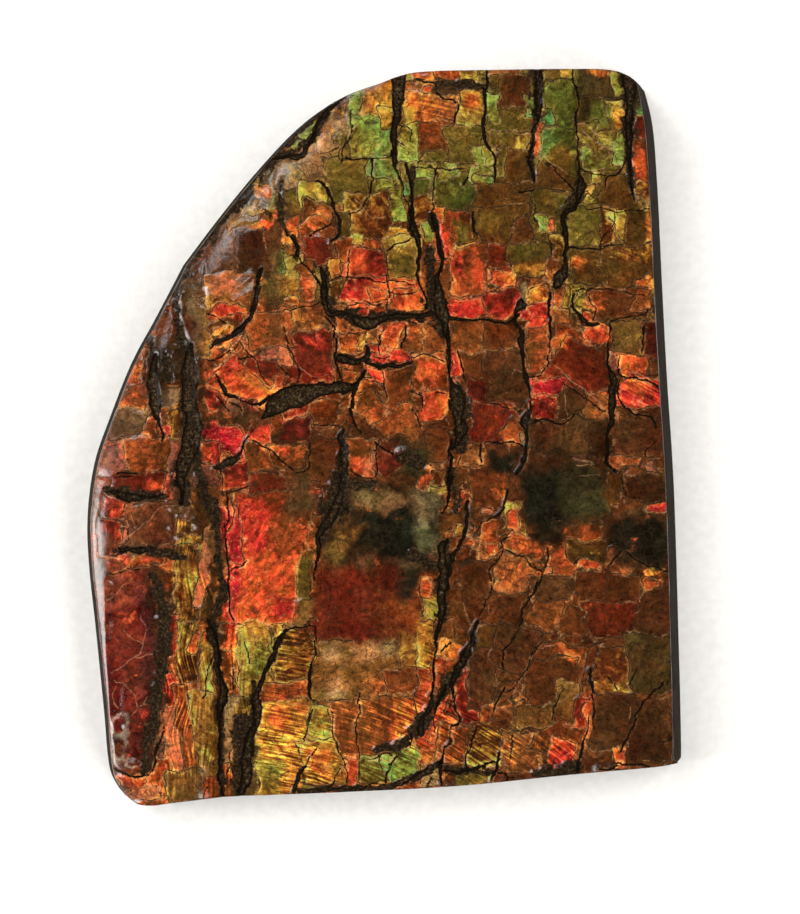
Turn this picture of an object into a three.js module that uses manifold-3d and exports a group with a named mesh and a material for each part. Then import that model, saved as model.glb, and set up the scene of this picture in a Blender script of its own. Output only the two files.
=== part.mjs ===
// Ammolite hand specimen, one natural piece: a slab of dark shale, sawn flat on its back and on
// three edges, whose top face is a sheet of iridescent fossil shell under a clear polish.
// The shell sheet rolls over a rounded shoulder on the left, is split into plates by cracks that
// run mostly down the slab, and has a few dips where it is thin or missing.
// Millimetres. The slab lies on its back: +Z is out of the shell face, +Y runs up its long way,
// and the origin is the middle of the back.

import * as THREE from 'three';
import { mergeVertices } from 'three/addons/utils/BufferGeometryUtils.js';
import Module from 'manifold-3d';

const wasm = await Module();
wasm.setup();

// ---- Driving dimensions ----

const FACE_LEVEL = 10.6;           // the shell face above the back; its swells take it to 11
const SHOULDER_REACH = 8;          // how far in from the left arc the face starts to roll over
const SHOULDER_DROP = 3.6;         // how far the face has dropped where it meets the left arc
const EDGE_ROUND_REACH = 1.6;      // the softened edge along the sawn sides
const EDGE_ROUND_DROP = 0.35;
const BEVEL_TOP_BOTTOM = 0.45;     // how far the sides slope out between the face and the back
const BEVEL_RIGHT = 1.5;
const BEVEL_LEFT = 0.9;
const FLANK_HEIGHT = 5.5;          // height of the line that splits the sloping side in two
const FLANK_OUT = 0.62;            // share of the side's slope that is used up at that line
const FOOT_HEIGHT = 0.9;           // the worn edge round the back
const FOOT_INSET = 0.6;
const WINDOW_DEPTH = 0.75;         // the sunken pane of shell at the lower left
const CELLS_ACROSS = 34;
const CELLS_ALONG = 40;
const CRACK_CLEAR = 0.7;           // how far a crack's cutter stands clear of the face
const CRACK_FLOOR_SHARE = 0.4;     // a crack's floor width as a share of its mouth
const CRACK_STEP = 2.6;            // spacing of a cutter's sections along its crack
const NARROWEST_CRACK = 0.3;
const MERGE_DISTANCE = 1e-4;       // points closer than this are one point

// ---- Outline, as four smooth sides that meet at corners ----

const LEFT_SIDE = [
  [-31, -42.9], [-32.4, -41], [-33.1, -38.6], [-33.6, -33], [-34.6, -23], [-35.4, -15.5],
  [-35.6, -9.5], [-34.8, -3.2], [-33, 2.2], [-30.3, 9], [-27.4, 14.4], [-24.1, 20.7],
];
const TOP_SIDE = [
  [-24.1, 20.7], [-19.4, 26.9], [-14.6, 32.7], [-9.9, 37.5], [-5.2, 40.7], [-0.5, 42.5],
  [3.5, 43.6], [14, 43.9], [24.5, 44], [27.6, 43.7], [29.6, 43.2], [31.2, 41.6],
];
const RIGHT_SIDE = [
  [35, -39], [35.6, -37.8], [35.2, -20], [34.7, -5], [33.9, 7.5], [33.3, 19], [32.8, 29.5],
  [32.2, 37.3], [31.2, 41.6],
];
const BOTTOM_SIDE = [
  [-31, -42.9], [-29.8, -43.7], [-27.8, -44], [-24.5, -43.6], [-18, -42.9], [-4, -42.3],
  [9, -41.6], [22, -40.3], [31, -39.5], [35, -39],
];

// ---- Relief of the shell face ----

// Broad swells and dips: [x, y, reach along X, reach along Y, height]
const SWELLS = [
  [-14, -15, 4.5, 8, 0.45],
  [-2, -21, 5, 5, 0.3],
  [12, 6, 5, 7, 0.3],
  [23, 8, 4, 5, 0.35],
  [22, -25, 6, 6, 0.4],
  [-13, 15, 5, 5, 0.4],
  [22, 36, 6, 6, 0.25],
  [-9, 9, 4, 3, 0.3],
  [-27, -3, 3, 3, 0.45],
  [-26, -14, 2.5, 4, 0.3],
  [-22.5, -33, 1.6, 12, 0.5],
  [-0.5, -11.5, 4.5, 3.6, -0.55],
  [19, -6.5, 4.5, 3, -0.45],
  [30.5, -12, 3, 3, -0.45],
  [4, -3, 3, 2.5, -0.35],
  [-23.5, 12, 1.8, 5, -0.45],
];

// Long shallow troughs that the deep cracks lie in: [points, reach, depth]
const TROUGHS = [
  [[[-20.3, -6], [-19.4, -18], [-19.4, -30], [-18.6, -43]], 1.5, 0.9],
  [[[-8, -9], [-8.4, -17], [-8.6, -30]], 1.2, 0.45],
  [[[1.4, 44], [2.8, 27], [7, 20], [7.6, 8], [9.2, 0], [7.6, -12], [7, -24], [7.4, -33]], 1.6, 0.4],
  [[[-7, 17], [-2, 14], [5, 14.4], [15, 14]], 1.5, 0.35],
  [[[-15, 4], [-9, 5.2], [-3.5, 6]], 2.4, 0.4],
  [[[-14, -26], [-15.6, -33], [-16.4, -43]], 1.9, 0.7],
  [[[22.8, 44], [22.8, 29], [21.4, 21], [22.6, 15]], 1.4, 0.3],
  [[[27, 12], [26.9, 2], [26.4, -4]], 1.2, 0.3],
];

// The sunken pane: its rim, and how softly its wall slopes
const WINDOW_RIM = [
  [-33, -16.4], [-30, -15.7], [-28, -16], [-25.4, -19], [-24.7, -25], [-25.3, -30.5], [-26.6, -36],
  [-27.6, -39.7], [-30.4, -39.8], [-31.9, -38.6], [-32.6, -33], [-33, -25],
];
const WINDOW_SLOPE = 1.3;

// ---- Cracks: [depth, [x, y, width] along the crack] ----

const CRACKS = {
  gash: [1.5, [[-14.6, 1.9, 0.6], [-13, 3.4, 2.2], [-11, 4.5, 2.8], [-9, 5, 2.5], [-7, 5.4, 1.9],
    [-5.2, 5.7, 1.5], [-3.8, 6, 0.8], [-2, 8, 0.5]]],
  topCrack: [1.3, [[1.7, 44.5, 2], [1.6, 40, 1.6], [1.3, 36, 1], [1.1, 32, 0.8], [2.4, 28, 0.6],
    [3.6, 24.5, 0.6], [4.2, 21, 0.7], [4.2, 18, 0.5], [4.9, 15.2, 0.5]]],
  spineUpper: [1.2, [[5.9, 26, 0.5], [6.7, 21.5, 0.9], [6.4, 17, 1.3], [6.8, 14.6, 1.9],
    [7.4, 11.5, 0.9], [7.6, 8.5, 0.6], [7.8, 6.4, 0.9]]],
  spineMiddle: [1.3, [[8, 5.6, 0.7], [8.8, 3.6, 2], [9.2, 1.2, 1.7], [8.6, -0.6, 0.8],
    [7.9, -3.2, 0.6], [7.6, -6.4, 0.6], [7, -9.2, 0.4]]],
  spineLower: [1.1, [[9.8, -7.6, 0.5], [9.5, -11.4, 0.6], [8.2, -14, 0.7], [7.1, -17, 1.3],
    [6.9, -20.4, 1], [6.4, -24, 0.5], [5.8, -28.4, 0.5]]],
  spineFoot: [1.2, [[10.8, -21.6, 0.5], [10.4, -24.4, 0.9], [8.8, -27.2, 1.3], [8, -29.4, 0.8],
    [8.3, -32.2, 0.5], [8.5, -33.8, 0.5], [7.3, -36.2, 0.6], [6.8, -39, 0.8], [6.6, -42.5, 0.6]]],
  spineFootBranch: [0.9, [[7.6, -28.7, 0.5], [6.6, -31, 0.7], [6, -33.2, 0.5], [6, -35.4, 0.4]]],
  leftGap: [1.1, [[-9.4, 20.6, 0.5], [-7.6, 18.2, 0.9], [-7, 15.6, 1.1], [-6, 14.3, 1.2],
    [-3.6, 14, 1.1], [-2, 13.6, 1.9], [-0.4, 13.9, 0.8], [2, 14.5, 0.8], [4.4, 14.6, 0.7]]],
  leftSeam: [0.8, [[-6, 13.4, 0.5], [-5.7, 10.6, 0.5], [-5.3, 7.8, 0.5], [-5.2, 6.6, 0.5]]],
  crossGap: [0.9, [[-5.3, 9.4, 1.1], [-3.6, 8.9, 1], [-2.2, 8.8, 0.9], [0.4, 8.6, 0.5],
    [3, 8.9, 0.4]]],
  rightSeam: [0.8, [[7.4, 14.2, 0.8], [10, 13.9, 0.5], [13.4, 13.7, 0.5], [15.4, 14, 0.5]]],
  plateSeam: [1, [[16.2, 15.6, 1.3], [15.7, 13.8, 0.5], [16.3, 11.4, 0.8], [16.4, 8.6, 0.6],
    [17.1, 6, 0.6], [17.2, 3.8, 0.5], [16.7, 1.8, 1.3], [16.6, -1.4, 0.6], [15.6, -4.2, 0.6]]],
  rightGap: [1.2, [[28.9, 44.6, 1.5], [28.9, 39, 1.2], [28.9, 34, 0.7], [29.2, 30, 0.5],
    [29.6, 28, 0.4]]],
  innerRight: [0.9, [[22.4, 44.5, 0.5], [22.8, 39, 0.5], [23, 33, 0.6], [22.9, 29, 1],
    [21.4, 26, 0.8], [21.5, 21.5, 0.8], [22.4, 16.6, 0.6], [22.9, 14.4, 0.7], [24.8, 13.3, 0.7]]],
  thinRight: [0.7, [[17.6, 44.5, 0.8], [17.8, 39, 0.6], [17.4, 34, 0.4], [17.5, 30.2, 0.4]]],
  twinSeam: [0.7, [[19.7, 17, 0.4], [19.5, 13.4, 0.5], [19.6, 9.8, 0.4], [18.6, 7.2, 0.4]]],
  rightColumn: [1.1, [[26.8, 13.8, 0.5], [26.5, 10.4, 0.5], [26.8, 8.2, 0.7], [27.1, 5.5, 1.2],
    [26.9, 2.8, 0.9], [26.5, 0, 0.6], [26.4, -3.4, 0.5]]],
  coralFoot: [0.7, [[27.7, 7.2, 0.4], [27.7, 5, 0.5], [28.6, 3.2, 0.5], [31.6, 2.1, 0.4]]],
  shoulderBar: [1, [[-14.7, 19.6, 0.9], [-15.3, 15.6, 0.8], [-17.4, 12.9, 0.6], [-20, 11.2, 0.5]]],
  furrow: [1.3, [[-22.4, 11.4, 0.8], [-22.7, 5, 1.8], [-23.4, 0, 2.6], [-23.9, -4.4, 1.8],
    [-24, -7.6, 0.8]]],
  furrowTwin: [0.9, [[-27, 10, 0.6], [-27.2, 6.4, 1.4], [-26.6, 2.4, 0.7]]],
  crimsonGap: [0.9, [[-20.6, -3.4, 0.4], [-18.6, -3.1, 1.2], [-17.1, -1.8, 0.8],
    [-16.3, -0.2, 0.5]]],
  redPlateSide: [0.8, [[-18.8, -7, 0.4], [-18.7, -16.5, 0.5], [-18.3, -20, 0.5],
    [-17.4, -22.2, 0.4]]],
  upperLeftCurve: [0.7, [[-8, 30.2, 0.4], [-6, 27.6, 0.5], [-5, 24.8, 0.4], [-6.2, 22.9, 0.4]]],
  thinTop: [0.6, [[11.9, 44.5, 0.4], [12, 38, 0.4], [12.9, 33.6, 0.4], [12.9, 30.2, 0.4]]],
  lens: [0.8, [[-32, -6.4, 0.5], [-30.2, -6.9, 1.1], [-28.4, -7, 0.7], [-26, -6.7, 0.4]]],
  middleStem: [1, [[-4.9, 0.6, 0.8], [-4.6, -3, 0.9], [-5.6, -6.6, 2.2], [-7.2, -10, 1.1],
    [-7.9, -13, 0.6], [-8.2, -17.4, 0.5]]],
  redPlateFoot: [0.8, [[-8.4, -22.4, 0.4], [-11.4, -22.8, 0.5], [-12.6, -24.6, 0.8],
    [-14.2, -28.2, 0.7], [-15.2, -32, 1.5], [-15.8, -36.6, 1.4], [-16.5, -41.8, 1]]],
  valley: [0.9, [[-20.6, -21, 0.6], [-19.5, -26, 0.5], [-19.1, -30.4, 1.1], [-19.6, -35, 0.5],
    [-19.5, -41.4, 0.5]]],
  lowerLeft: [0.6, [[-9.2, -39, 0.5], [-10, -40.2, 0.8], [-10.5, -42.9, 0.7]]],
  goldSeam: [0.6, [[-3.1, -30.4, 0.4], [-3.4, -34.4, 0.4], [-2.9, -40.6, 0.4]]],
  lowerSeamA: [0.7, [[14.6, -6.1, 0.5], [14, -8.4, 0.5], [11.4, -10.4, 0.4]]],
  lowerSeamB: [0.7, [[13.9, -12.2, 0.4], [12.5, -16.2, 0.4], [12.3, -18.8, 0.4],
    [11.2, -21.4, 0.5]]],
  lowerSeamC: [0.7, [[19.3, -13.2, 0.4], [18.2, -17.4, 0.4], [16.3, -21.4, 0.5],
    [14.3, -25.4, 0.5], [14.1, -29.6, 0.5], [12.9, -32.2, 0.5]]],
  lowerSeamD: [0.7, [[24.3, -28, 0.5], [24.6, -31.4, 0.4], [23.8, -35.2, 0.5],
    [23.2, -37.4, 0.6], [22.8, -39.6, 0.6]]],
  lowerSeamE: [0.6, [[32.4, -29.5, 0.4], [30, -32.8, 0.4], [28.4, -36.6, 0.5]]],
};

// ---- Small helpers ----

// The nearest distance from a point to a run of straight segments.
function distanceToPath(x, y, points) {
  let nearest = Infinity;
  for (let i = 0; i + 1 < points.length; i += 1) {
    const [ax, ay] = points[i];
    const [bx, by] = points[i + 1];
    const lengthSquared = (bx - ax) ** 2 + (by - ay) ** 2;
    const along = ((x - ax) * (bx - ax) + (y - ay) * (by - ay)) / lengthSquared;
    const clamped = THREE.MathUtils.clamp(along, 0, 1);
    nearest = Math.min(
      nearest,
      Math.hypot(x - ax - clamped * (bx - ax), y - ay - clamped * (by - ay)),
    );
  }
  return nearest;
}

// Whether a point lies inside a closed polygon, by counting the edges to its right.
function isInside(x, y, polygon) {
  let inside = false;
  for (let i = 0; i < polygon.length; i += 1) {
    const [ax, ay] = polygon[i];
    const [bx, by] = polygon[(i + 1) % polygon.length];
    if ((ay > y) !== (by > y) && x < ax + ((y - ay) / (by - ay)) * (bx - ax)) {
      inside = !inside;
    }
  }
  return inside;
}

function smoothCurve(points) {
  return new THREE.SplineCurve(points.map(([x, y]) => new THREE.Vector2(x, y)));
}

// A side's evenly spaced points, without its last one, which starts the next side.
function sidePoints(points, count, reversed) {
  const spaced = smoothCurve(points).getSpacedPoints(count);
  if (reversed) spaced.reverse();
  return spaced.slice(0, count).map((point) => [point.x, point.y]);
}

// ---- The outline and the line where the face ends ----

// Anticlockwise from the lower left corner.
const outerLoop = [
  ...sidePoints(BOTTOM_SIDE, CELLS_ACROSS, false),
  ...sidePoints(RIGHT_SIDE, CELLS_ALONG, false),
  ...sidePoints(TOP_SIDE, CELLS_ACROSS, true),
  ...sidePoints(LEFT_SIDE, CELLS_ALONG, true),
];

// The outline moved inwards by a width that depends on which way each point of it faces.
function insetLoop(loop, widthFacing) {
  return loop.map(([x, y], i) => {
    const [beforeX, beforeY] = loop[(i + loop.length - 1) % loop.length];
    const [afterX, afterY] = loop[(i + 1) % loop.length];
    const length = Math.hypot(afterX - beforeX, afterY - beforeY);
    const outX = (afterY - beforeY) / length;
    const outY = (beforeX - afterX) / length;
    const width = widthFacing(outX);
    return [x - width * outX, y - width * outY];
  });
}

function bevelFacing(outX) {
  const sideBevel = outX > 0 ? BEVEL_RIGHT : BEVEL_LEFT;
  return BEVEL_TOP_BOTTOM + (sideBevel - BEVEL_TOP_BOTTOM) * outX * outX;
}

const faceLoop = insetLoop(outerLoop, bevelFacing);

// ---- Height of the shell face above the back ----

// The shoulder runs up the left side and on round the arc, to the sixth point of the top side.
const shoulderLine = [...LEFT_SIDE, ...TOP_SIDE.slice(1, 6)];
const wholeOutline = [...outerLoop, outerLoop[0]];
const windowLoop = [...WINDOW_RIM, WINDOW_RIM[0]];

function swellHeight(x, y) {
  let height = 0;
  for (const [centreX, centreY, reachX, reachY, rise] of SWELLS) {
    height += rise * Math.exp(-(((x - centreX) / reachX) ** 2) - ((y - centreY) / reachY) ** 2);
  }
  return height;
}

function troughDepth(x, y) {
  let depth = 0;
  for (const [points, reach, deepest] of TROUGHS) {
    depth = Math.max(depth, deepest * Math.exp(-((distanceToPath(x, y, points) / reach) ** 2)));
  }
  return depth;
}

function windowDepth(x, y) {
  if (!isInside(x, y, WINDOW_RIM)) return 0;
  return WINDOW_DEPTH * THREE.MathUtils.smoothstep(distanceToPath(x, y, windowLoop), 0, WINDOW_SLOPE);
}

// The shoulder is a quarter of an ellipse, SHOULDER_REACH wide and SHOULDER_DROP tall.
function faceHeight(x, y) {
  const shoulder = Math.max(0, 1 - distanceToPath(x, y, shoulderLine) / SHOULDER_REACH);
  const edge = Math.max(0, 1 - distanceToPath(x, y, wholeOutline) / EDGE_ROUND_REACH);
  return FACE_LEVEL
    - SHOULDER_DROP * (1 - Math.sqrt(1 - shoulder * shoulder))
    - EDGE_ROUND_DROP * edge * edge
    + swellHeight(x, y)
    - troughDepth(x, y)
    - windowDepth(x, y);
}

// ---- The uncut slab ----

// A Coons patch: each point of the face is worked out from the four sides of its edge loop.
function facePoint(i, j) {
  const u = i / CELLS_ACROSS;
  const v = j / CELLS_ALONG;
  const bottom = faceLoop[i];
  const right = faceLoop[CELLS_ACROSS + j];
  const top = faceLoop[2 * CELLS_ACROSS + CELLS_ALONG - i];
  const left = faceLoop[(2 * CELLS_ACROSS + 2 * CELLS_ALONG - j) % faceLoop.length];
  const lowerLeft = faceLoop[0];
  const lowerRight = faceLoop[CELLS_ACROSS];
  const upperRight = faceLoop[CELLS_ACROSS + CELLS_ALONG];
  const upperLeft = faceLoop[2 * CELLS_ACROSS + CELLS_ALONG];
  const [x, y] = [0, 1].map((k) => (1 - v) * bottom[k] + v * top[k] + (1 - u) * left[k] + u * right[k]
    - (1 - u) * (1 - v) * lowerLeft[k] - u * (1 - v) * lowerRight[k]
    - u * v * upperRight[k] - (1 - u) * v * upperLeft[k]);
  return [x, y, faceHeight(x, y)];
}

// Adds the quad a, b, c, d as two triangles, split from b to d.
function addQuad(positions, a, b, c, d) {
  positions.push(...a, ...b, ...d, ...b, ...c, ...d);
}

// A band of quads up from one closed loop of points to the next, facing outwards.
function addBand(positions, lower, upper) {
  for (let i = 0; i < lower.length; i += 1) {
    const next = (i + 1) % lower.length;
    addQuad(positions, lower[i], lower[next], upper[next], upper[i]);
  }
}

function closedSolid(positions) {
  const geometry = new THREE.BufferGeometry();
  geometry.setAttribute('position', new THREE.Float32BufferAttribute(positions, 3));
  const merged = mergeVertices(geometry, MERGE_DISTANCE);
  return new wasm.Manifold(new wasm.Mesh({
    numProp: 3,
    vertProperties: merged.attributes.position.array,
    triVerts: new Uint32Array(merged.index.array),
  }));
}

function makeSlab() {
  const positions = [];
  const rows = Array.from({ length: CELLS_ALONG + 1 }, (_, j) => (
    Array.from({ length: CELLS_ACROSS + 1 }, (__, i) => facePoint(i, j))));
  for (let j = 0; j < CELLS_ALONG; j += 1) {
    for (let i = 0; i < CELLS_ACROSS; i += 1) {
      addQuad(positions, rows[j][i], rows[j][i + 1], rows[j + 1][i + 1], rows[j + 1][i]);
    }
  }
  const lip = faceLoop.map(([x, y]) => [x, y, faceHeight(x, y)]);
  const flank = outerLoop.map(([x, y], i) => [
    THREE.MathUtils.lerp(faceLoop[i][0], x, FLANK_OUT),
    THREE.MathUtils.lerp(faceLoop[i][1], y, FLANK_OUT),
    FLANK_HEIGHT,
  ]);
  const base = outerLoop.map(([x, y]) => [x, y, FOOT_HEIGHT]);
  const foot = insetLoop(outerLoop, () => FOOT_INSET).map(([x, y]) => [x, y, 0]);
  addBand(positions, flank, lip);
  addBand(positions, base, flank);
  addBand(positions, foot, base);
  const back = THREE.ShapeUtils.triangulateShape(foot.map(([x, y]) => new THREE.Vector2(x, y)), []);
  for (const [a, b, c] of back) {
    positions.push(...foot[a], ...foot[c], ...foot[b]);
  }
  return closedSolid(positions);
}

// ---- Crack cutters ----

// A bar with a V-shaped section whose floor follows the face at the crack's depth. Its width at
// the face is the crack's width there, and its top stands clear of the face.
function makeCrackCutter(depth, stations) {
  const line = smoothCurve(stations);
  const steps = Math.max(2, Math.round(line.getLength() / CRACK_STEP));
  const widths = new THREE.SplineCurve(stations.map(([, , width], i) => new THREE.Vector2(i, width)));
  const sections = [];
  for (let step = 0; step <= steps; step += 1) {
    const along = step / steps;
    const t = line.getUtoTmapping(along);
    const point = line.getPoint(t);
    const tangent = line.getTangent(t);
    const half = Math.max(NARROWEST_CRACK, widths.getPoint(t).y) / 2;
    const floorHalf = half * CRACK_FLOOR_SHARE;
    const topHalf = half + (half - floorHalf) * (CRACK_CLEAR / depth);
    const height = faceHeight(point.x, point.y);
    sections.push([-topHalf, topHalf, floorHalf, -floorHalf].map((across, corner) => [
      point.x - tangent.y * across,
      point.y + tangent.x * across,
      height + (corner < 2 ? CRACK_CLEAR : -depth),
    ]));
  }
  const positions = [];
  for (let step = 0; step < steps; step += 1) {
    const here = sections[step];
    const next = sections[step + 1];
    for (let corner = 0; corner < 4; corner += 1) {
      const other = (corner + 1) % 4;
      addQuad(positions, here[corner], next[corner], next[other], here[other]);
    }
  }
  const [first, last] = [sections[0], sections[steps]];
  addQuad(positions, first[0], first[1], first[2], first[3]);
  addQuad(positions, last[3], last[2], last[1], last[0]);
  return closedSolid(positions);
}

// ---- The specimen ----

function makeSpecimen() {
  let solid = makeSlab();
  for (const [depth, stations] of Object.values(CRACKS)) {
    solid = solid.subtract(makeCrackCutter(depth, stations));
  }
  const { vertProperties, triVerts } = solid.getMesh();
  const geometry = new THREE.BufferGeometry();
  geometry.setAttribute('position', new THREE.Float32BufferAttribute(vertProperties, 3));
  geometry.setIndex(new THREE.Uint32BufferAttribute(triVerts, 1));
  geometry.computeBoundingBox();
  const box = geometry.boundingBox;
  geometry.translate(-(box.min.x + box.max.x) / 2, -(box.min.y + box.max.y) / 2, -box.min.z);
  const faceted = geometry.toNonIndexed();
  faceted.computeVertexNormals();
  return faceted;
}

const shellOnShale = new THREE.MeshStandardMaterial({
  color: 0x7a3a1c,
  roughness: 0.22,
  metalness: 0.1,
  flatShading: true,
});

const specimen = new THREE.Mesh(makeSpecimen(), shellOnShale);
specimen.name = 'ammolite_slab';

const group = new THREE.Group();
group.add(specimen);

export default group;
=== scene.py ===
"""Looks of an ammolite hand specimen: a slab of dark shale, sawn flat on its back, whose face is a
sheet of iridescent fossil shell, crazed into plates, under a clear polish.

Sizes are millimetres in the slab's own frame (X right, Y up the face, Z out of it), as in its
solid, and are turned to metres where the mesh is made. The face is one grid between the four
sides of the outline. Cracks, plates and colour zones are placed on it, and each becomes a field
worked out for every point of the grid: a height for the relief, or an attribute that the shell's
material reads.
"""

from types import SimpleNamespace

import bpy
import numpy as np
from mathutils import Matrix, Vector


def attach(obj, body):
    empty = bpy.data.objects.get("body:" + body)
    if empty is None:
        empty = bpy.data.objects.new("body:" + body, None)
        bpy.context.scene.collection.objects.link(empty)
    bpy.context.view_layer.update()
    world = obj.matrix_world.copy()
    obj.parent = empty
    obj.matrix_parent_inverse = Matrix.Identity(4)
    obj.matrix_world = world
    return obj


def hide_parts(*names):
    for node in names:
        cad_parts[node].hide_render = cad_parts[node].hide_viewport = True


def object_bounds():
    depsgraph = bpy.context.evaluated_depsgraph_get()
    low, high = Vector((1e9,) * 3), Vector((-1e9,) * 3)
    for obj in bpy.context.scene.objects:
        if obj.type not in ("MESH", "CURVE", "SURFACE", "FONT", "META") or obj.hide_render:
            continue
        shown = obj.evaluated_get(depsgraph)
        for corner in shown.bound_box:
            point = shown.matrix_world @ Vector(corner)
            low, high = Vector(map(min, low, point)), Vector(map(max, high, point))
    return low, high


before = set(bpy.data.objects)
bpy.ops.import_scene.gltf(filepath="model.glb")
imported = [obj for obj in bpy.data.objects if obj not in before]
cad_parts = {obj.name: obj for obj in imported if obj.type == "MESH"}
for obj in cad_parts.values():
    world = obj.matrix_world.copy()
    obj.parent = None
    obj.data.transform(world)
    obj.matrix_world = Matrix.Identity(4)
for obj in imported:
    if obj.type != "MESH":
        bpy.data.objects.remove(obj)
CAD_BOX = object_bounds()

MM = 0.001
TOP_OF_SLAB = CAD_BOX[1][2] / MM

# ---- The outline, as four smooth sides that meet at corners, and the face's relief ----

LEFT_SIDE = [
    (-31, -42.9), (-32.4, -41), (-33.1, -38.6), (-33.6, -33), (-34.6, -23), (-35.4, -15.5),
    (-35.6, -9.5), (-34.8, -3.2), (-33, 2.2), (-30.3, 9), (-27.4, 14.4), (-24.1, 20.7),
]
TOP_SIDE = [
    (-24.1, 20.7), (-19.4, 26.9), (-14.6, 32.7), (-9.9, 37.5), (-5.2, 40.7), (-0.5, 42.5),
    (3.5, 43.6), (14, 43.9), (24.5, 44), (27.6, 43.7), (29.6, 43.2), (31.2, 41.6),
]
RIGHT_SIDE = [
    (35, -39), (35.6, -37.8), (35.2, -20), (34.7, -5), (33.9, 7.5), (33.3, 19), (32.8, 29.5),
    (32.2, 37.3), (31.2, 41.6),
]
BOTTOM_SIDE = [
    (-31, -42.9), (-29.8, -43.7), (-27.8, -44), (-24.5, -43.6), (-18, -42.9), (-4, -42.3),
    (9, -41.6), (22, -40.3), (31, -39.5), (35, -39),
]
# The solid's own spans along the outline, each cut into FINER cells here
SPANS_ACROSS = 34
SPANS_ALONG = 40
FINER = 8
OUTLINE_SPACING = 0.24  # about how far apart the outline's points then are
SIDE_LEVELS = [0.06, 0.14, 0.3, 0.48, 0.64, 0.8, 0.92]  # rings down the side, as shares of the way

FACE_LEVEL = 10.6
SHOULDER_REACH = 8
SHOULDER_DROP = 3.6
EDGE_ROUND_REACH = 1.6
EDGE_ROUND_DROP = 0.35
BEVEL_TOP_BOTTOM = 0.45
BEVEL_RIGHT = 1.5
BEVEL_LEFT = 0.9
FLANK_HEIGHT = 5.5
FLANK_OUT = 0.62
FOOT_HEIGHT = 0.9
FOOT_INSET = 0.6
WINDOW_DEPTH = 0.75
WINDOW_SLOPE = 1.3

# Relief that the solid leaves out
PLATE_SWAY = 0.12  # how much higher or lower one stretch of plates sits than the next
PLATE_TILT = 0.05
SEAM_DIP = 0.06
HAIRLINE_DEPTH = 0.12
GROOVE_SHARE = 0.35  # of a crack's depth, what is cut into the mesh
ROCK_DROP = 0.18
RUBBLE = 0.35
CLEARANCE = 0.02  # left below the top of the solid's box

# What the polishing wheel misses
WHEEL_REACH = (0.04, 0.2)  # troughs up to the first depth are polished, past the second not
WALL_REACH = (1.5, 1.1)  # the pane's wall ends between these distances from its rim,
WALL_FROM = -30.5  # lies to the right of this x,
WALL_OUTSIDE = 0.35  # and reaches so far outside the rim

# Places are shaken by noises before something is read there, so that no edge runs smooth:
# (reach, size, seed for x, seed for y)
EDGE_SHAKE = [(0.3, 0.8, 1, 3), (0.4, 2.3, 2, 4)]  # cracks, veins and bare rock
PLATE_SHAKE = [(0.7, 1.7, 9, 10), (0.25, 0.6, 33, 34)]  # and plates, on top of that
CLOUD_SHAKE = [(1.2, 2.6, 11, 12), (1.1, 0.9, 18, 19)]  # and stains, on top of both

# Broad swells and dips: (x, y, reach along X, reach along Y, height)
SWELLS = [
    (-14, -15, 4.5, 8, .45), (-2, -21, 5, 5, .3), (12, 6, 5, 7, .3), (23, 8, 4, 5, .35),
    (22, -25, 6, 6, .4), (-13, 15, 5, 5, .4), (22, 36, 6, 6, .25), (-9, 9, 4, 3, .3),
    (-27, -3, 3, 3, .45), (-26, -14, 2.5, 4, .3), (-22.5, -33, 1.6, 12, .5),
    (-.5, -11.5, 4.5, 3.6, -.55), (19, -6.5, 4.5, 3, -.45), (30.5, -12, 3, 3, -.45),
    (4, -3, 3, 2.5, -.35), (-23.5, 12, 1.8, 5, -.45),
]
# Shallow troughs that the deep cracks lie in: (points, reach, depth)
TROUGHS = [
    ([(-20.3, -6), (-19.4, -18), (-19.4, -30), (-18.6, -43)], 1.5, .9),
    ([(-8, -9), (-8.4, -17), (-8.6, -30)], 1.2, .45),
    ([(1.4, 44), (2.8, 27), (7, 20), (7.6, 8), (9.2, 0), (7.6, -12), (7, -24), (7.4, -33)],
     1.6, .4),
    ([(-7, 17), (-2, 14), (5, 14.4), (15, 14)], 1.5, .35),
    ([(-15, 4), (-9, 5.2), (-3.5, 6)], 2.4, .4),
    ([(-14, -26), (-15.6, -33), (-16.4, -43)], 1.9, .7),
    ([(22.8, 44), (22.8, 29), (21.4, 21), (22.6, 15)], 1.4, .3),
    ([(27, 12), (26.9, 2), (26.4, -4)], 1.2, .3),
]
# The sunken pane of shell at the lower left
WINDOW_RIM = [
    (-33, -16.4), (-30, -15.7), (-28, -16), (-25.4, -19), (-24.7, -25), (-25.3, -30.5),
    (-26.6, -36), (-27.6, -39.7), (-30.4, -39.8), (-31.9, -38.6), (-32.6, -33), (-33, -25),
]

# ---- Cracks with a width of their own: (depth, [(x, y, width), ...]) ----

CRACK_LAYERS = 6  # cracks that come near each other are kept in layers of their own
CRACK_REACH = 0.62  # how far past its edge a crack's field is known
CRACK_LIP = 0.05  # its groove starts so far outside its edge
FREE_END = 0.5  # how far past its ends its field is known
FAR = 9.0  # the distance to a line that isn't near

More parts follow.
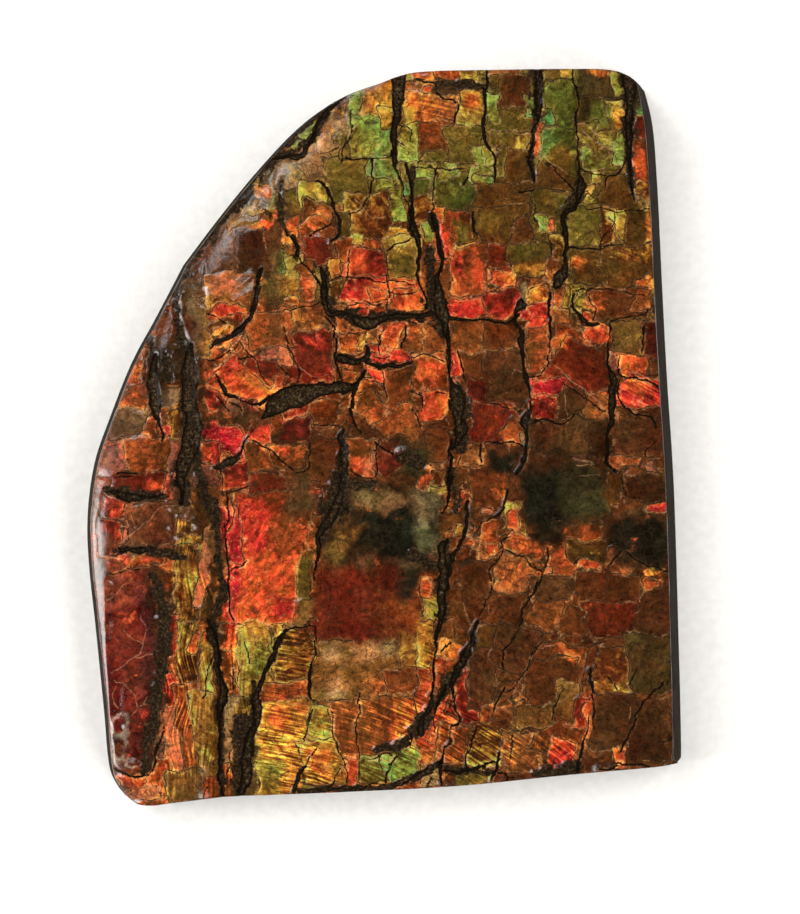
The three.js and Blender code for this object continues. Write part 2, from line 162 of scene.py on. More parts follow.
CRACKS = [
    # across the middle left: the gash, and the dark gaps above and below it
    (1.3, [(-14.6, 2.2, .3), (-13, 3.7, 2.3), (-12, 4.3, 2.7), (-10.7, 4.8, 2.7), (-9.1, 5.2, 2.4),
     (-7.2, 5.5, 1.8), (-5.3, 5.8, 1.5), (-3.9, 6, .7), (-3.1, 6.5, .4), (-2.4, 7.5, .4)]),
    (.8, [(-5.4, 9.5, 1), (-4.4, 9.3, .9), (-3.4, 8.9, .8), (-2.3, 9.2, .7), (-1.8, 9.9, .5),
     (-1.9, 10.9, .3)]), (.6, [(-2.2, 8.7, .5), (-.1, 8, .4), (.5, 8.3, .5), (2, 8.3, .5),
     (3.3, 8.9, .3)]), (.5, [(-2.1, 7.9, .45), (-2.6, 7.1, .45), (-3.1, 6.2, .5), (-3.7, 5.3, .5),
     (-3.9, 4, .4), (-3.9, 3, .4), (-3.4, 1.2, .25), (-2.6, .5, .2)]),
    # the top crack and its run down to the middle
    (1.3, [(2.1, 44.4, 2.2), (1.8, 42, 1.9), (1.7, 40, 1.55), (1.55, 38, 1), (1.15, 36, .75),
     (1.05, 34, .72), (1.2, 32.6, .75), (1.3, 31.9, .4)]), (.5, [(1.3, 32, .3), (1.7, 31, .25),
     (2.1, 29.8, .2), (2.5, 28.3, .2), (3, 27, .25), (3.3, 26.2, .5)]), (1.0, [(2.4, 32.6, .35),
     (2.7, 31.6, .5), (2.95, 30.4, .4), (3.15, 29.3, .35), (3.3, 28, .3), (3.4, 26.6, .5),
     (3.55, 25.2, .85), (3.85, 24.1, .9), (4.15, 23, .75), (4.25, 21.6, .5), (4.1, 20, .45),
     (4.1, 18.2, .3), (4.7, 16.9, .3), (4.9, 16.2, .3), (4.8, 15.2, .4)]), (1.2, [(5.9, 26.1, .4),
     (6.2, 25, .6), (6.4, 23.7, .6), (6.7, 22.3, .6), (6.85, 21.6, .5), (6.7, 20, .5), (6.35, 18.8, .6),
     (6.5, 16.8, 1.2), (6.7, 15, 1.8), (7.15, 12.9, .8), (7.5, 11, .6), (7.6, 9, .45), (7.75, 7.1, .35),
     (7.9, 6.1, .7)]), (1.3, [(7.9, 6.3, .6), (8.5, 5, 1.8), (8.7, 3.6, 1.9), (9, 2.2, 1.5),
     (9.2, 1, 1.4), (8.8, -.1, .9), (8.1, -1.6, .4)]), (.9, [(7.9, -.4, .35), (7.9, -2.6, .4),
     (7.9, -5.2, .4), (7.4, -7.1, .35), (7, -9.2, .2)]), (1.1, [(9.8, -7.6, .4), (9.7, -9.7, .45),
     (9.5, -11.2, .5), (9.05, -12.6, .45), (8.3, -14, .6), (7.8, -15.3, .5), (7.5, -16.6, .5),
     (7.6, -17.9, .3)]), (.9, [(7.3, -12, .5), (6.9, -13.5, 1.1), (7, -15.4, 1.2), (7, -17, 1.2),
     (6.9, -19, 1.2), (6.8, -20.8, 1), (6.5, -22, .6), (6.2, -23.9, .35), (5.8, -26.3, .3),
     (5.8, -28.5, .3), (5.55, -30, .3), (5.3, -31, .3)]), (.6, [(5.55, -31.4, .9), (5.1, -32.4, .6),
     (4.5, -33.3, .5), (4.4, -34.4, 1), (4.2, -35.3, .5)]), (1.3, [(11, -21.6, .3), (10.3, -23, .6),
     (10.5, -24.2, .6), (10.1, -25.1, .8), (9.1, -26.7, 1), (8.4, -27.8, .95), (8, -29.3, .6),
     (8.3, -30.3, .3), (8.3, -31.9, .25), (8.8, -33, .25), (8.5, -33.8, .25), (7.7, -34.4, .2),
     (7.9, -35.5, .2), (7.2, -36.3, .3), (7, -37.6, .35), (6.7, -38.9, .7), (6.6, -40.8, .3),
     (6.5, -42.4, .3)]), (.7, [(7.2, -29, .3), (6.85, -30.3, .4), (6.2, -31.9, .4), (6, -33, .2),
     (6, -35, .15)]),
    # the dark gaps across the middle
    (.9, [(-7.8, 20.2, .3), (-7.3, 19.3, .6), (-7, 17, .8), (-6.6, 14.9, .9), (-5.8, 14.5, .8),
     (-4.6, 14.7, .5), (-3.4, 14.2, .7), (-2.6, 13.7, 1.5), (-1.6, 13.4, 1.7), (-.6, 13.8, 1),
     (.2, 14.2, .6), (2.05, 14.6, .65), (3.9, 14.4, .6), (5.6, 14.7, .7)]), (.5, [(-6.9, 14.2, .3),
     (-6.1, 13.2, .3), (-5.75, 12.3, .3), (-5.8, 10.7, .3), (-5.6, 9.3, .3), (-5.35, 8, .3),
     (-5.2, 6.6, .3)]), (.8, [(7, 14.3, .7), (9.05, 14, .5), (11, 13.8, .35), (12.4, 13.7, .3),
     (14, 13.6, .3), (15.1, 13.9, .35), (15.8, 14.6, .5)]), (1.1, [(16.3, 16.3, .6), (16.2, 15.6, 1.3),
     (15.6, 14.8, .5), (15.5, 13.7, .5), (16.1, 12.8, .5), (16.3, 11.5, .7), (16.4, 10, .5),
     (16.4, 8.5, .45), (16.9, 7.1, .6), (17.1, 6, .45), (17.2, 4.9, .2), (17.3, 3.5, .4),
     (16.7, 2.3, 1.1), (16.6, 1.2, .8), (16.7, 0, .45), (16.65, -1.8, .45), (16.3, -3.2, .5),
     (15.6, -4.3, .3)]),
    # right half of the upper face
    (1.2, [(28.9, 44.4, 1.2), (28.9, 42, 1.5), (29, 40, 1.2), (29, 38, 1), (29, 36, .9),
     (28.9, 34.4, .8), (28.9, 33.2, .6), (29.1, 32, .4), (29.2, 30.4, .3), (29.4, 29, .3),
     (29.6, 28, .2)]), (.9, [(22.4, 44.4, .2), (22.3, 42.4, .25), (22.7, 41, .2), (22.8, 39, .22),
     (22.7, 37.6, .28), (22.85, 35.6, .2), (23, 33.6, .22), (23.1, 31.6, .28), (23.1, 30.4, .7),
     (23.1, 29.4, 1.1), (22.9, 28.4, .65), (22.8, 27.6, .5), (22.3, 27, .6), (21.6, 26.9, .6),
     (21.2, 26.2, .6), (21.15, 25.3, .6), (21.35, 24, .65), (21.5, 22.6, .55), (21.6, 21.4, .5),
     (21.4, 20, .8), (20.7, 18.8, 1.5), (20.4, 17.7, 1)]), (.7, [(22.4, 17, .4), (22.3, 15.8, .35),
     (22.85, 14.6, .5), (23.4, 13.7, .6), (24.5, 13.3, .4), (25.4, 13.3, .25)]),
    (.7, [(18.1, 44.4, .9), (18.1, 42, .9), (18.1, 40, .9), (18.1, 38.4, .8), (18.3, 37.5, .4),
     (17.7, 36.8, .2), (17.5, 35.2, .15), (17.4, 34, .3), (17.3, 33, .25), (17.35, 32, .4),
     (17.5, 31, .45), (17.5, 30, .25)]), (.6, [(12, 44.2, .35), (12.1, 42.2, .35), (11.95, 41, .5),
     (11.75, 40, .45), (11.8, 39, .35), (11.7, 37.6, .4), (11.9, 36, .6), (12.1, 35, .5),
     (12.6, 34.1, .35), (13.1, 33.3, .35), (13.2, 32.4, .35), (13.1, 31.2, .3), (12.8, 30.2, .2),
     (12.2, 29.9, .15)]), (.5, [(10.6, 26.8, .3), (10.6, 25.4, .35), (10.7, 24.5, .3),
     (10.9, 23.6, .15)]), (.5, [(19.7, 17, .4), (19.6, 15.8, .4), (19.5, 14.4, .3), (19.6, 13.2, .45),
     (19.6, 11.7, .2), (19.6, 10.3, .2), (19.4, 8.8, .2), (19.1, 7.7, .2), (18.3, 7.1, .2),
     (17.3, 7, .2)]), (1.0, [(26.85, 13.7, .4), (26.7, 12.4, .25), (26.5, 11, .25), (26.3, 9.9, .3),
     (26.2, 9, .3), (26.7, 8.3, .5), (27, 6.8, 1.1), (27.05, 5.5, .9), (27, 4.1, 1.1),
     (26.85, 2.7, .75), (26.6, 1.3, .5), (26.3, 0, .4), (26.3, -1.7, .35), (26.4, -3.3, .35),
     (27.5, -4.1, .25)]),
    # the shoulder: bar, furrows, the gap round the crimson block
    (1.0, [(-14.4, 20.3, .25), (-14.7, 19.2, .6), (-14.9, 18, .75), (-15.2, 16.5, .75), (-15.5, 15, .6),
     (-15.8, 14, .7), (-16.7, 13.1, .7), (-17.8, 12.4, .6), (-18.9, 11.8, .7), (-19.9, 11.3, .5),
     (-20.5, 10.5, .2)]), (1.2, [(-22.9, 11, .6), (-23, 9, 1.4), (-23, 7, 1.9), (-23, 5, 1.9),
     (-22.7, 3, 1.9), (-22.5, 1, 2.2), (-22.9, -1, 2.4), (-23.6, -3, 2), (-23.9, -4.8, 1.2),
     (-23.9, -6.6, .7), (-23.8, -8, .4)]), (1.0, [(-26.9, 9.8, .5), (-27.2, 8, 1.1), (-27.2, 6, 1.5),
     (-27.2, 4, 1.4), (-27, 2.6, .9), (-26.4, 1.8, .35), (-26.2, .6, .3), (-26.3, -.6, .2)]),
    (.8, [(-20.4, -3.5, .3), (-19.4, -3.5, .6), (-18.5, -3, 1.1), (-17.5, -2.3, .7), (-16.9, -1.4, .35),
     (-16.6, -.4, .3), (-15.8, .1, .25)]), (.5, [(-19.8, 7.4, .25), (-19.3, 6.4, .4), (-18.7, 5.4, .6),
     (-17.8, 4.8, .35), (-16.5, 4.2, .2), (-15.2, 3.8, .35), (-14.3, 4.2, .4), (-13.4, 5, .3)]),
    (.5, [(-8.1, 30.3, .2), (-7.3, 29.8, .4), (-6.6, 28.8, .45), (-6, 27.4, .35), (-5.7, 26.4, .25),
     (-5.3, 25.8, .5), (-5.2, 25.2, .5), (-5.1, 24.6, .4), (-5.6, 23.6, .4), (-6.3, 22.9, .35)]),
    (.7, [(-13.8, 33, .25), (-12.4, 33, .3), (-11.2, 33.2, .5), (-10.4, 33.1, .9), (-9.4, 33.4, .6),
     (-8.9, 34.3, .7), (-8.3, 35.2, .55), (-8.1, 36.5, .35), (-7.6, 37.6, .45), (-6.9, 38.4, .6),
     (-6, 39.4, .5), (-4.8, 40.6, .35), (-3.2, 41.8, .2)]), (.4, [(-11.7, 24.4, .15), (-11, 23.6, .2),
     (-10.5, 23.1, .35), (-10.3, 22.3, .45), (-10.1, 21.6, .3)]),
    # the dark lens and the wide seams of the lower left
    (.7, [(-32.6, -6.4, .3), (-31.8, -6.6, .7), (-30.2, -7, 1.2), (-28.8, -7.1, .8), (-27.9, -7.2, .35),
     (-26.9, -7.1, .25), (-25.8, -6.6, .15)]), (.6, [(-31.6, -12.9, .3), (-30.8, -13.2, .6),
     (-29.5, -13.5, .8), (-28.2, -13.3, .8), (-27.1, -13, .4)]), (.9, [(-20.9, -21.4, .3),
     (-20.5, -22.3, .55), (-20, -23.4, .4), (-19.6, -25.9, .4), (-19.2, -28.2, .45),
     (-19.1, -29.8, .95), (-19.1, -31, 1), (-19.5, -33, .5), (-19.55, -35, .35), (-19.6, -37.6, .3),
     (-19.5, -40.2, .3), (-19.1, -42.6, .3)]), (1.0, [(-8.2, -22.4, .2), (-9.5, -22.4, .2),
     (-11.4, -22.8, .35), (-12.1, -23.4, .6), (-12.5, -24.4, .7), (-13.1, -25.8, .65),
     (-14, -27.8, .55), (-14.8, -29.8, .75), (-15.1, -31.7, 1.2), (-14.8, -33.5, 1), (-15.5, -34.8, .9),
     (-16, -36.3, 1.2), (-16.2, -38.2, 1.5), (-16.2, -40.2, 1.4), (-16.8, -41.4, .9),
     (-17, -42.9, .7)]), (.9, [(-4.7, .9, .4), (-5, 0, .8), (-4.7, -1.3, 1), (-4.6, -2.6, .95),
     (-4.5, -3.9, .9), (-4.8, -5.2, .9), (-5.4, -7, 1), (-6, -8.6, 1), (-6.8, -10, 1),
     (-7.8, -11.4, .8), (-7.9, -13, .6), (-8.1, -14.9, .35), (-8.2, -16.9, .2)]),
    (.5, [(-7.9, -22.4, .2), (-8.2, -24.6, .2), (-8.3, -25.9, .25), (-8.7, -27.4, .35),
     (-8.85, -29.3, .5), (-8.7, -30.6, .4), (-8.2, -31.3, .25)]), (.5, [(-8.2, -36.7, .15),
     (-8.85, -37.8, .25), (-9.4, -39, .35), (-10.1, -40.2, .55), (-10.5, -41.5, .7),
     (-10.7, -42.6, .6)]), (.5, [(24.2, -27.3, .3), (24.3, -28.9, .4), (24.5, -30.3, .25),
     (24.8, -31.6, .2), (24.9, -34.4, .2)]), (.5, [(23.7, -35.2, .25), (23.3, -36.9, .45),
     (23, -38.1, .4), (22.85, -39.4, .4), (22.8, -40.2, .4)]), (.5, [(14.6, -6, .35), (14.4, -7, .35),
     (14, -8.3, .3), (13.5, -9.1, .25), (12.8, -9.6, .2), (11.5, -10.2, .2), (11.1, -11, .2)]),
    (.5, [(13.6, -37.2, .35), (13.3, -38.6, .4), (13, -39.6, .4), (12.65, -40.6, .35)]),
    (.4, [(11, -38.8, .45), (12.4, -38.5, .3), (13.2, -38.4, .25)]), (.4, [(7.1, -39.4, .35),
     (8.4, -39.5, .4), (9.4, -39.2, .4), (11, -38.9, .4)]), (.4, [(10.9, -34.2, .3), (10.35, -36, .3),
     (9.7, -37.6, .25), (9.6, -39, .25)]),
]

# ---- Hairline cracks: width, then [(x, y), ...] for each ----

HAIRLINES = {0.26: [
    [(-10.3, 22), (-9.5, 20.6), (-8.7, 19.7), (-7.8, 18.5), (-7.4, 17.7), (-7.3, 16.6)], [(-6.2, 25.4),
     (-7.2, 24.7), (-8.1, 24.1), (-8.8, 23.8)], [(-1.1, 33), (-1.3, 31.5), (-1.6, 30), (-1.8, 28.7)],
    [(3.4, 23.4), (2.4, 23), (1.5, 22.7), (.4, 22.2)], [(6.3, 40.7), (7, 40.2), (7.8, 39.9),
     (8.6, 39.6)], [(28.4, 32.5), (27.9, 31.6), (27.2, 31.05), (26.5, 30.95), (26.2, 30.4), (26, 29.6)],
    [(21.8, 22.4), (22.6, 22.3), (24, 22.4), (25.6, 22.5), (27.3, 22.7)], [(17.5, 29.1), (16.6, 29.1),
     (15.8, 29.05)], [(9.2, 29.8), (9.7, 30.4), (10.1, 30.9)], [(8.7, 10.3), (9.1, 9), (9.3, 8),
     (9.6, 6.4)], [(2.4, 13.4), (2.6, 12.1), (2.4, 11), (2.2, 10.3)], [(30.7, 13.2), (30.6, 11.2),
     (30.4, 10.1)], [(27.75, 6.8), (27.6, 5.5), (28, 4.1), (28.6, 3.25), (30.3, 2.6), (31.7, 2.15),
     (32.2, 1.2)], [(27.7, 9.6), (27.7, 8.2), (27.8, 7.4), (28.9, 7), (30.3, 6.7), (31.4, 6.6),
     (32.9, 5.6)], [(17.3, 1.7), (18.4, 2), (19.8, 1.8), (21.1, 1.6), (22, 2.3), (23, 2.8)],
    [(-31.9, -4), (-30.8, -3.95), (-29, -4)], [(-18.3, -6.6), (-18.6, -9), (-18.7, -13),
     (-18.45, -16.9), (-18.3, -19.5), (-17.7, -21.4)], [(-15.6, -.4), (-14.7, -.8), (-13.6, -1.4),
     (-12.7, -2.3), (-11.7, -3), (-10.9, -3.8)], [(-1.2, -.4), (0, -1.3), (1, -2.1)], [(11.55, -.8),
     (11.5, -2.8)], [(12, -.7), (13.1, -.3), (14.2, -.6), (15.3, -.7), (16.2, -1.4)], [(19.3, -13.1),
     (19.3, -14.6), (18.9, -16.1), (18.2, -17.4), (17.6, -18.3), (16.9, -19.3), (16.5, -20.3),
     (16.1, -22), (15.4, -23.4), (14.9, -24.5), (14.4, -25), (14.2, -26.1), (14.1, -27.4)],
    [(14.3, -29.4), (13.9, -30.5), (13.2, -31.4), (12.9, -32.3)], [(28.2, -13.2), (27.3, -14.3),
     (26.6, -15.2)], [(33.1, -28.8), (32, -29.9), (30.8, -31.4), (29.9, -33), (29.1, -34.7),
     (28.6, -36.1), (28.2, -37.2)], [(25.5, -39.4), (26.6, -39.1), (27.3, -38.4), (28.6, -38.5),
     (30.3, -38.4), (31.4, -38.8)], [(13.2, -39.5), (14.3, -39.8), (14.6, -41.2)], [(2.95, -35),
     (3.35, -35.6), (3.2, -36.4)], [(-.8, -41.5), (.75, -41.5), (1.8, -41.1), (2.95, -40.6),
     (3.7, -39.5), (4.5, -39.3), (5.4, -38.5)], [(.15, -40.7), (.35, -39.4), (.9, -38.2), (1.4, -37.3)],
    [(-25.8, -33.9), (-26.5, -36), (-27, -37.3), (-27.4, -39.3)], [(-31.7, -39.1), (-30.5, -39.8),
     (-29.2, -40), (-27.7, -39.8)], [(7.9, -24.1), (7.2, -24.9), (6.6, -25.6)], [(24.2, -32.8),
     (24, -34.4), (23.7, -35.4)],
], 0.18: [
    [(-3.8, 38.8), (-4, 37), (-4, 35.4), (-4.4, 34.5), (-4.8, 33.7), (-5.2, 32.4)], [(-4.8, 33.1),
     (-3.5, 32.85), (-1, 32.9), (.6, 33.2)], [(-1.8, 28.7), (-2.2, 27.7), (-2.9, 26.9), (-4.1, 26.1)],
    [(.36, 22), (.43, 19.9), (.43, 18.1), (.56, 17.1), (.2, 16), (.2, 15)], [(1.9, 36.9), (2.9, 36.9),
     (3.15, 36.2), (3, 35)], [(1.5, 35), (2.3, 34.6)], [(8.6, 39.5), (8.5, 38), (8.3, 37.2), (8, 36.8)],
    [(2.7, 42.1), (4.5, 42.05), (5.8, 41.8), (6.2, 41.4), (6.3, 40.8)], [(6.05, 31.8), (6.05, 29.4),
     (5.9, 27.2), (5.7, 26.4)], [(3.6, 31.8), (5, 31.9), (7, 31.8), (9.7, 31.7)], [(23.3, 31.5),
     (24.8, 31.3), (26.4, 31)], [(19.2, 32.3), (20.2, 31.6), (20.9, 30.8), (21.7, 30), (22.4, 29.2)],
    [(17.55, 42.2), (17.6, 40.5), (17.6, 39), (17.4, 38)], [(23.6, 27), (26, 26.9), (28, 26.8),
     (29.5, 26.9), (31, 26.9), (32, 26.7)], [(27.2, 26.8), (27.3, 25.8), (27.1, 24.8)], [(26.2, 24.3),
     (25.8, 23.8), (25.4, 23.3), (25.4, 22.5)], [(27.1, 40), (28.2, 40.05)], [(19.6, 23.7),
     (19.8, 22.6), (20, 21.6)], [(17.6, 28), (17.9, 27), (17.7, 25.8), (18.4, 24.6)], [(-20.8, 14.8),
     (-20, 14.3), (-19.1, 13.7), (-18.2, 13.2)], [(-20.8, 9.2), (-19.8, 9), (-18.9, 9.8), (-17.8, 10.6),
     (-17, 11.4)], [(-17, 11.5), (-16.4, 10.6), (-15.6, 9.6), (-14.9, 8.4), (-14.1, 7), (-13.3, 6.2)],
    [(-17.3, 9.2), (-16.2, 9.3), (-15.2, 9.3)], [(-19.5, 5), (-19, 4.2), (-18.5, 3.2)], [(-18.2, 4.3),
     (-17.2, 3.8), (-16.8, 3.1)], [(-12, 13.2), (-11.3, 11.6), (-10.9, 10.3), (-10.3, 8.9),
     (-10.1, 7.3), (-10.2, 6.3)], [(-12.5, 8.5), (-11.6, 7.5), (-10.8, 7)], [(-11.1, 14.8), (-10, 15.3),
     (-8.8, 15.6), (-7.3, 16.2)], [(-6.5, 18.5), (-4.7, 18.75), (-3.1, 18.8), (-1.6, 18.7), (.5, 18.5),
     (2.2, 18.2), (3.9, 18)], [(.6, 16.9), (1.9, 16.9), (3.9, 17.2)], [(-4.3, 21.4), (-4.3, 18.7)],
    [(-2.4, 16.2), (-1.7, 15.8), (-1.1, 15.6), (-.3, 15.8)], [(-4.6, 15.1), (-3.9, 15.5), (-3.1, 15.8)],
    [(0, 13.2), (-.5, 11.6), (-.5, 10.6), (-.3, 9.5)], [(3, 9.5), (3.5, 9.3), (4.3, 9.6), (5.8, 9.5),
     (7.2, 9)], [(-1.3, 9.4), (.1, 9.2), (.75, 9.5)], [(3.2, 5.6), (4.2, 5.1), (4.3, 4.6), (4.5, 3.8),
     (4.5, 3.2)], [(3.3, 3.4), (4, 2.4), (4.5, 1.2)], [(5.8, 5.1), (7.2, 5)], [(-.15, 7.6), (-.1, 5.9),
     (.4, 4.4)], [(-8.5, 1.4), (-6.6, 1.5), (-5.2, 1.2)], [(24.1, 16.9), (24.6, 15.9), (24.9, 15),
     (24.6, 13.6)], [(22.5, 17.1), (23.4, 17.5), (24.1, 17), (24.4, 17.6), (26.2, 17.5), (28.2, 17.3),
     (30.3, 16.9), (31, 16.8)], [(26.9, 13.8), (27.4, 14), (28.9, 14.1), (30.8, 14.5), (31.1, 15.4)],
    [(21.2, 6.8), (22, 5.9), (23, 5.2), (24.1, 4.4), (25.3, 3.7), (26.2, 3.1)], [(12.3, 4.2),
     (13.6, 3.9), (14.9, 3.5), (16.4, 3.2)], [(-31.8, -4.5), (-30.8, -4.5), (-29.7, -4.3)],
    [(-17.9, -8), (-17.9, -9.3), (-17.9, -10.4), (-18.6, -11)], [(-16.2, -14.4), (-17, -15.2),
     (-18.4, -15.9)], [(-19.6, -2.6), (-19.5, -3.8), (-19.2, -4.8), (-19, -6.5), (-18.6, -7)],
    [(-18.6, -6.9), (-17.5, -6.6), (-16.6, -6.1), (-16, -5.8)], [(-32.6, -16.2), (-32.1, -16.1),
     (-30.8, -15.7), (-29.7, -15.5), (-28.6, -15.6)], [(-3.9, -3.6), (-3.1, -4.4), (-1.3, -4.7),
     (-.7, -3.9), (-.8, -2.2), (-.9, -.6)], [(-8.8, -.4), (-8.85, -2.3), (-8.9, -3.5), (-9.5, -3.9),
     (-10.6, -4)], [(32.1, -.4), (31.1, -1.5), (31, -2.3)], [(28.2, -4.3), (28.4, -5.8), (28.6, -6.9)],
    [(28.6, -13.4), (29.3, -14.1), (30.3, -14.7), (32, -15.3), (33.9, -16)], [(13.6, -11.9),
     (13.9, -12.4), (13.75, -13.8), (13.1, -14.9), (12.5, -15.6), (12.5, -16.4), (12.8, -17.2),
     (12.65, -18.2), (12.1, -19), (11.8, -19.7), (11.2, -21.2)], [(13.7, -12.1), (14.3, -11.9),
     (15.1, -11.6)], [(14.1, -13.1), (15, -13.8), (16.1, -14.1), (16.9, -14.7), (17.6, -15.3),
     (18.8, -16)], [(23.1, -14.5), (22.4, -15)], [(-20.3, -25.9), (-20.8, -27.8), (-21, -29.8),
     (-21.4, -31)], [(-17.7, -27), (-17.7, -28.1), (-18.1, -29.8)], [(-16.4, -24), (-16.2, -25.2),
     (-16.2, -26.9)], [(-18.3, -36.9), (-18.4, -38.9), (-18.8, -40)], [(-20.8, -41.3), (-21.3, -42.4)],
    [(-8.2, -32.2), (-8.7, -33.4), (-9.2, -35), (-9.75, -36)], [(-6.25, -32.1), (-6, -33.7),
     (-5.9, -35.4), (-5.5, -36.9), (-4.95, -38.3), (-4.4, -39.9), (-4.6, -40.8)], [(-3, -30),
     (-3.1, -31.6), (-2.9, -32.6), (-3.4, -33.7), (-3.4, -35), (-3.2, -36.3), (-2.95, -37.6),
     (-3, -38.9), (-2.75, -40.5)], [(-5.3, -38.9), (-5.9, -40.4), (-6.4, -41.5)], [(-9, -41.5),
     (-7.8, -41.5), (-6.9, -41.9), (-5.7, -41.5), (-3.9, -41.3), (-2.2, -41.1), (-1.3, -40.7),
     (.1, -40.75)], [(-1.85, -38.1), (-.7, -37.8), (0, -37.4), (1, -37.4)], [(18.7, -24.1), (17.9, -25),
     (17.2, -26), (17.1, -26.7), (16.1, -27.9), (15.3, -29.4), (14.3, -30.2)], [(21.2, -29.7),
     (20.65, -31), (20.1, -31.9), (19.8, -33.3)], [(30, -27.1), (29.5, -28.1), (28.8, -29.2)],
    [(26.3, -28.2), (27.4, -29.7)], [(15.4, -35.1), (15, -36.9), (14.9, -38.1)], [(14.4, -40.3),
     (15.5, -40.2)], [(32.2, -36.2), (33.6, -35.8), (34.2, -35.2)], [(5.8, -40), (5.3, -40.8),
     (5.2, -41.5)],
]}

# ---- Colour ----

# The shell's film runs through one order of colours, from thick film (ruby) to thin (emerald).
RUBY, SCARLET, FLAME, ORANGE, AMBER, GOLD, LIME, GREEN, EMERALD = np.linspace(0, 1, 9)
FILM_COLOURS = ["#9B1520", "#B3291D", "#C0411E", "#C45F22", "#C07E28", "#B49633", "#8B9637",
                "#598735", "#31783B"]

# Where the film is dead, what shows is dull shell or bare shale.
INK, PITCH, SHALE, UMBER, BARK, MAROON, WINE, PLUM = (
    "#13160F", "#241B10", "#43331F", "#502B14", "#4B3315", "#5E2114", "#5A1914", "#3C1B22")
RUSSET, OLIVE, MOSS, TAN, DUN, ROSE, COPPER, HONEY, BUFF = (
    "#6C3A1B", "#5C4C1F", "#4E501F", "#6E4E26", "#7C6549", "#7A4638", "#7F4A28", "#94682F",
    "#907048")
OXBLOOD, LICHEN, FAWN, THICKET, BRICK, LODEN = (
    "#501C10", "#3D3A27", "#684A30", "#2A2816", "#7A3A28", "#5C593F")
# painted highlight: the pale ring of glare round each blister
BLISTER_GLARE = "#8C7C74"

# What a plate can look like: (film, how alive, ground)
LOOKS = {
    "crimson": (RUBY, .95, MAROON), "red": (SCARLET, .9, MAROON), "flame": (FLAME, .9, RUSSET),
    "orange": (ORANGE, .85, RUSSET), "amber": (AMBER, .75, RUSSET), "gold": (GOLD, .85, TAN),
    "lime": (LIME, .7, OLIVE), "green": (GREEN, .7, OLIVE), "emerald": (EMERALD, .6, MOSS),
    "dull red": (SCARLET, .5, MAROON), "rust": (FLAME, .45, RUSSET), "ochre": (AMBER, .4, UMBER),
    "straw": (GOLD, .4, OLIVE), "sage": (LIME, .38, OLIVE), "olive": (.56, .14, OLIVE),
    "moss": (GREEN, .2, MOSS), "brown": (FLAME, .12, UMBER), "bark": (AMBER, .1, BARK),
    "maroon": (RUBY, .2, MAROON), "russet": (FLAME, .25, RUSSET), "tan": (AMBER, .2, TAN),
    "dun": (ORANGE, .1, DUN), "rose": (SCARLET, .3, ROSE), "copper": (ORANGE, .4, COPPER),
    "honey": (GOLD, .45, HONEY), "buff": (GOLD, .15, BUFF), "umber": (FLAME, .06, "#331D0E"),
    "peat": (FLAME, .06, "#482B17"), "wine": (RUBY, .12, "#48190F"), "cocoa": (FLAME, .12, "#54321F"),
    "coral": (FLAME, .6, "#B06C4A"), "saffron": (.5, .85, "#7A4A22"), "toast": (ORANGE, .15, "#6C5028"),
    "ember": (FLAME, .62, RUSSET), "fawn": (ORANGE, .1, FAWN), "sienna": (SCARLET, .15, "#5A2412"),
    "thicket": (GOLD, .06, "#3C3018"), "shale": (ORANGE, .1, SHALE), "pitch": (ORANGE, 0, PITCH),
}

# Broad regions, soft at their edges: (look, x from, x to, y from, y to[, turn in degrees])
REGIONS = [
    ("olive", -26, 34, 27, 45), ("rust", -14, 6, 0, 24), ("brown", 6, 34, -1, 22),
    ("rust", 6, 20, 14, 20), ("bark", 9, 22, 22, 31), ("olive", 21.4, 32, 14, 28),
    ("olive", -14, -7, 15, 22), ("rust", -22, -12, -6, 16), ("brown", -36, -22, -8, 20),
    ("rose", -36, -24, -14, 2), ("brown", 6, 36, -45, -1), ("rust", -12, 8, -45, -20),
    ("ochre", -25, -20, -24, -8), ("rust", -26, -19, -45, -22), ("rust", -19, -8, -23, -6),
    ("straw", -17.5, -8, -45, -22), ("brown", -14, 8, -6, 2),
]

COARSE_CELL = (3.4, 3.8)  # how wide and tall the broken cells are between the single plates,
SMALL_CELL = (1.5, 1.3)  # and where the shell is crushed
FULL_TURN = 6.3  # for headings drawn from 0 to 1
FAR_JOINT = 3.0  # the distance to a joint that isn't near
SEAM_LAYERS = 5  # outlines of plates that meet are kept in layers of their own
SEAM_REACH = 0.6  # how far from its outline a plate's distance is kept
PLATE_SPREAD = 0.18  # plates reach this far past their boxes, so that neighbours meet
